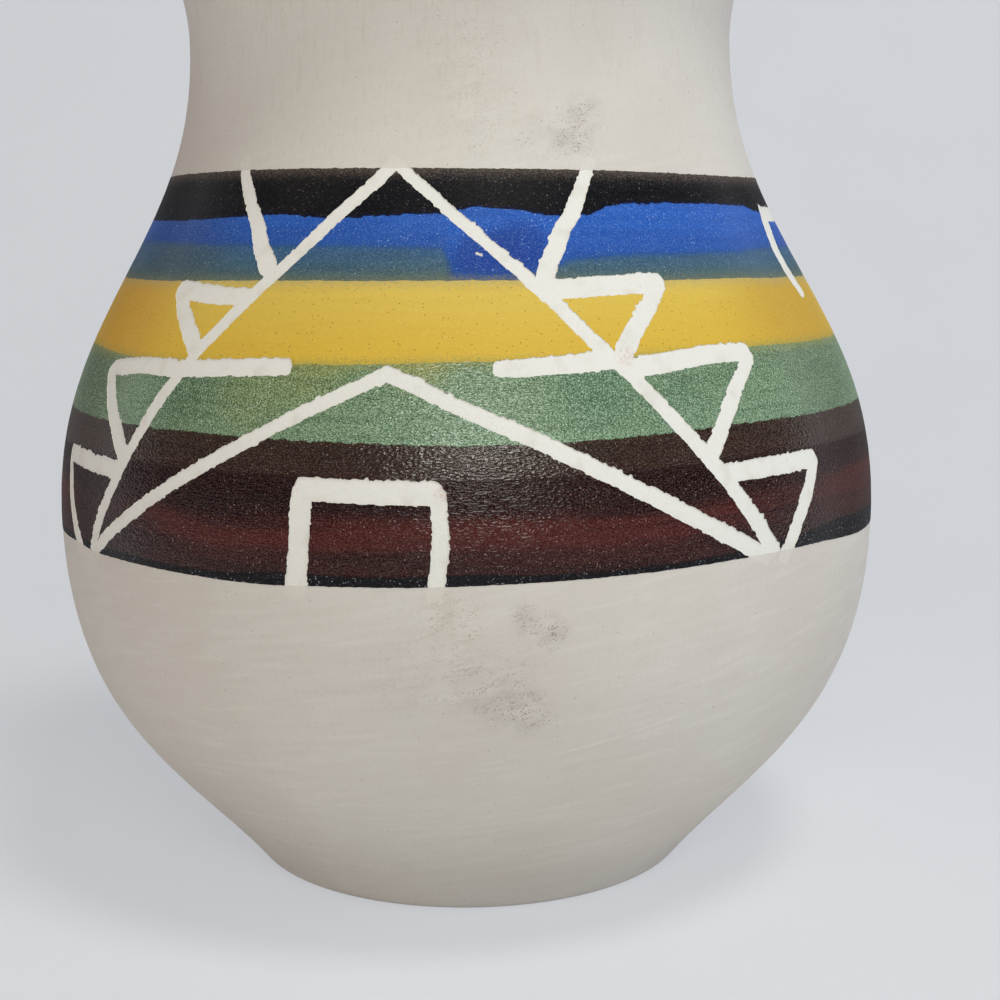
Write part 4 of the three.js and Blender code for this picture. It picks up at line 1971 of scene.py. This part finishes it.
@dataclass(frozen=True)
class SoftLamp:
    """A large soft lamp that points at the vase.

    Attributes:
        name: Its name.
        angle: Where it stands, in degrees round from the front.
        elevation: How high it stands, in degrees.
        distance: How far away it is, in metres.
        size: How wide and how high it is, in metres.
        level: How bright it makes a white surface that faces it.
        colour: Its colour.
        shines: Whether satin surfaces mirror it.
    """

    name: str
    angle: float
    elevation: float
    distance: float
    size: Place
    level: float
    colour: Colour
    shines: bool = False

    def place(self, aim: Vector) -> None:
        """Puts it up, pointing at a place."""
        data = bpy.data.lights.new(self.name, "AREA")
        data.shape = "ELLIPSE"
        data.size, data.size_y = self.size
        # At this power a white surface that faces the lamp gets the level asked for
        data.energy = self.level * math.pi**2 * self.distance**2
        data.color = self.colour
        way, rise = math.radians(self.angle), math.radians(self.elevation)
        level = math.cos(rise)
        back = Vector((math.sin(way) * level, -math.cos(way) * level, math.sin(rise)))
        lamp = bpy.data.objects.new(self.name, data)
        lamp.location = aim + back * self.distance
        lamp.rotation_euler = (-back).to_track_quat("-Z", "Y").to_euler()
        lamp.visible_glossy = self.shines
        bpy.context.scene.collection.objects.link(lamp)


@dataclass(frozen=True)
class Studio:
    """The pale floor and backdrop, the lamps and the even light all round.

    Attributes:
        half_width: Of the floor, in metres.
        front: How far the floor runs to the front, in metres.
        back: Where the backdrop rises, in metres.
        bend: The radius of the bend between floor and backdrop, in metres.
        height: Of the backdrop, in metres.
        sky: The colour of the even light.
        sky_level: How bright that light makes a white surface.
        lamps: The lamps.
    """

    half_width: float = 1.6
    front: float = 1.2
    back: float = 0.5
    bend: float = 0.35
    height: float = 1.3
    sky: Colour = (1.0, 0.95, 0.95)
    sky_level: float = 0.08
    lamps: tuple[SoftLamp, ...] = (
        SoftLamp("top_lamp", 38.0, 66.0, 0.7, (0.2, 0.2), 0.4, (1.0, 1.02, 0.96)),
        SoftLamp("front_lamp", 4.0, 26.0, 0.6, (0.38, 0.1), 0.32, (1.02, 1.02, 0.96), shines=True),
        SoftLamp("left_lamp", -62.0, 6.0, 0.8, (0.4, 0.4), 0.2, (1.1, 0.96, 0.95)),
        SoftLamp("right_lamp", 66.0, 18.0, 0.8, (0.5, 0.5), 0.32, (0.92, 0.98, 1.16)),
    )

    def backdrop(self) -> None:
        """Builds the floor and the backdrop as one bent sheet."""
        turns = np.radians(np.linspace(0, 90, 25))
        bend = [
            (self.back - self.bend + self.bend * math.sin(turn), self.bend * (1 - math.cos(turn)))
            for turn in turns
        ]
        profile = [(-self.front, 0.0), (0.0, 0.0), *bend, (self.back, self.height)]
        maker = MeshMaker("studio_backdrop")
        sides = (-self.half_width, self.half_width)
        rows = [maker.points(np.array([[x, y, z] for x in sides]) / MM) for y, z in profile]
        for first, second in zip(rows[:-1], rows[1:]):
            maker.add(np.array([[first[0], first[1], second[1], second[0]]]))
        made = maker.build([StageFinish().dress()])

    def light(self, aim: Vector) -> None:
        """Puts up the even light and the lamps, pointing at a place."""
        world = bpy.data.worlds.new("even_light")
        world.use_nodes = True
        shader = world.node_tree.nodes["Background"]
        shader.inputs["Color"].default_value = (*self.sky, 1.0)
        shader.inputs["Strength"].default_value = self.sky_level
        bpy.context.scene.world = world
        for lamp in self.lamps:
            lamp.place(aim)


@dataclass(frozen=True)
class PhotoCamera:
    """The camera of the photograph, close to the vase and a little above its belly.

    Attributes:
        distance: From the axis of the vase, in mm.
        height: Above the floor, in mm.
        tilt: How far it looks down, in degrees.
        swing: How far it is turned to the left, in degrees.
        roll: How far it is rolled, in degrees.
        reach: The distance, in pixels of the photograph, at which one pixel stands for one unit.
        frame: The width of the photograph, in pixels.
        sensor: The width of the sensor, in mm.
        clip: The nearest distance that it sees, in metres.
    """

    distance: float = 219.9
    height: float = 79.1
    tilt: float = 8.96
    swing: float = -1.08
    roll: float = -0.30
    reach: float = 1720.0
    frame: float = 1000.0
    sensor: float = 36.0
    clip: float = 0.005

    def place(self) -> None:
        """Puts up the camera and makes it the scene's own."""
        data = bpy.data.cameras.new("photo_camera")
        data.sensor_width = self.sensor
        data.lens = self.sensor * self.reach / self.frame
        data.clip_start = self.clip
        camera = bpy.data.objects.new("photo_camera", data)
        turn = Matrix.Rotation(math.radians(self.swing), 3, "Z")
        tilt = Euler((math.radians(90 - self.tilt), 0.0, 0.0)).to_matrix()
        roll = Matrix.Rotation(math.radians(self.roll), 3, "Z")
        camera.rotation_euler = (turn @ tilt @ roll).to_euler()
        camera.location = Vector((0.0, -self.distance, self.height)) * MM
        bpy.context.scene.collection.objects.link(camera)
        bpy.context.scene.camera = camera


def settle(piece: bpy.types.Object, node: str) -> None:
    """Lets a piece stand for its node, whose part it hides, and ride on the vase."""
    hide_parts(node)
    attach(piece, "root")
    log.info("%s stands for %s", piece.name, node)


def main() -> None:
    """Builds the camera, the studio and every piece of the vase."""
    logging.basicConfig(level=logging.INFO, format="%(name)s: %(message)s")
    low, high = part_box("clay_body")
    form = VaseForm(height=high.z / MM, belly_radius=high.x / MM)
    PhotoCamera().place()
    studio = Studio()
    studio.backdrop()
    studio.light(Vector((0.0, 0.0, high.z / 2)))
    bpy.context.scene.view_settings.view_transform = "Standard"
    belt = Belt(form, columns=240)
    settle(ClayBody(form, belt).make(), "clay_body")
    settle(GlazeLining(form).make(), "glaze_lining")
    for paint in Paint:
        band = PaintBand(paint, form, belt)
        settle(band.make(), band.node)


if __name__ == "__main__":
    main()
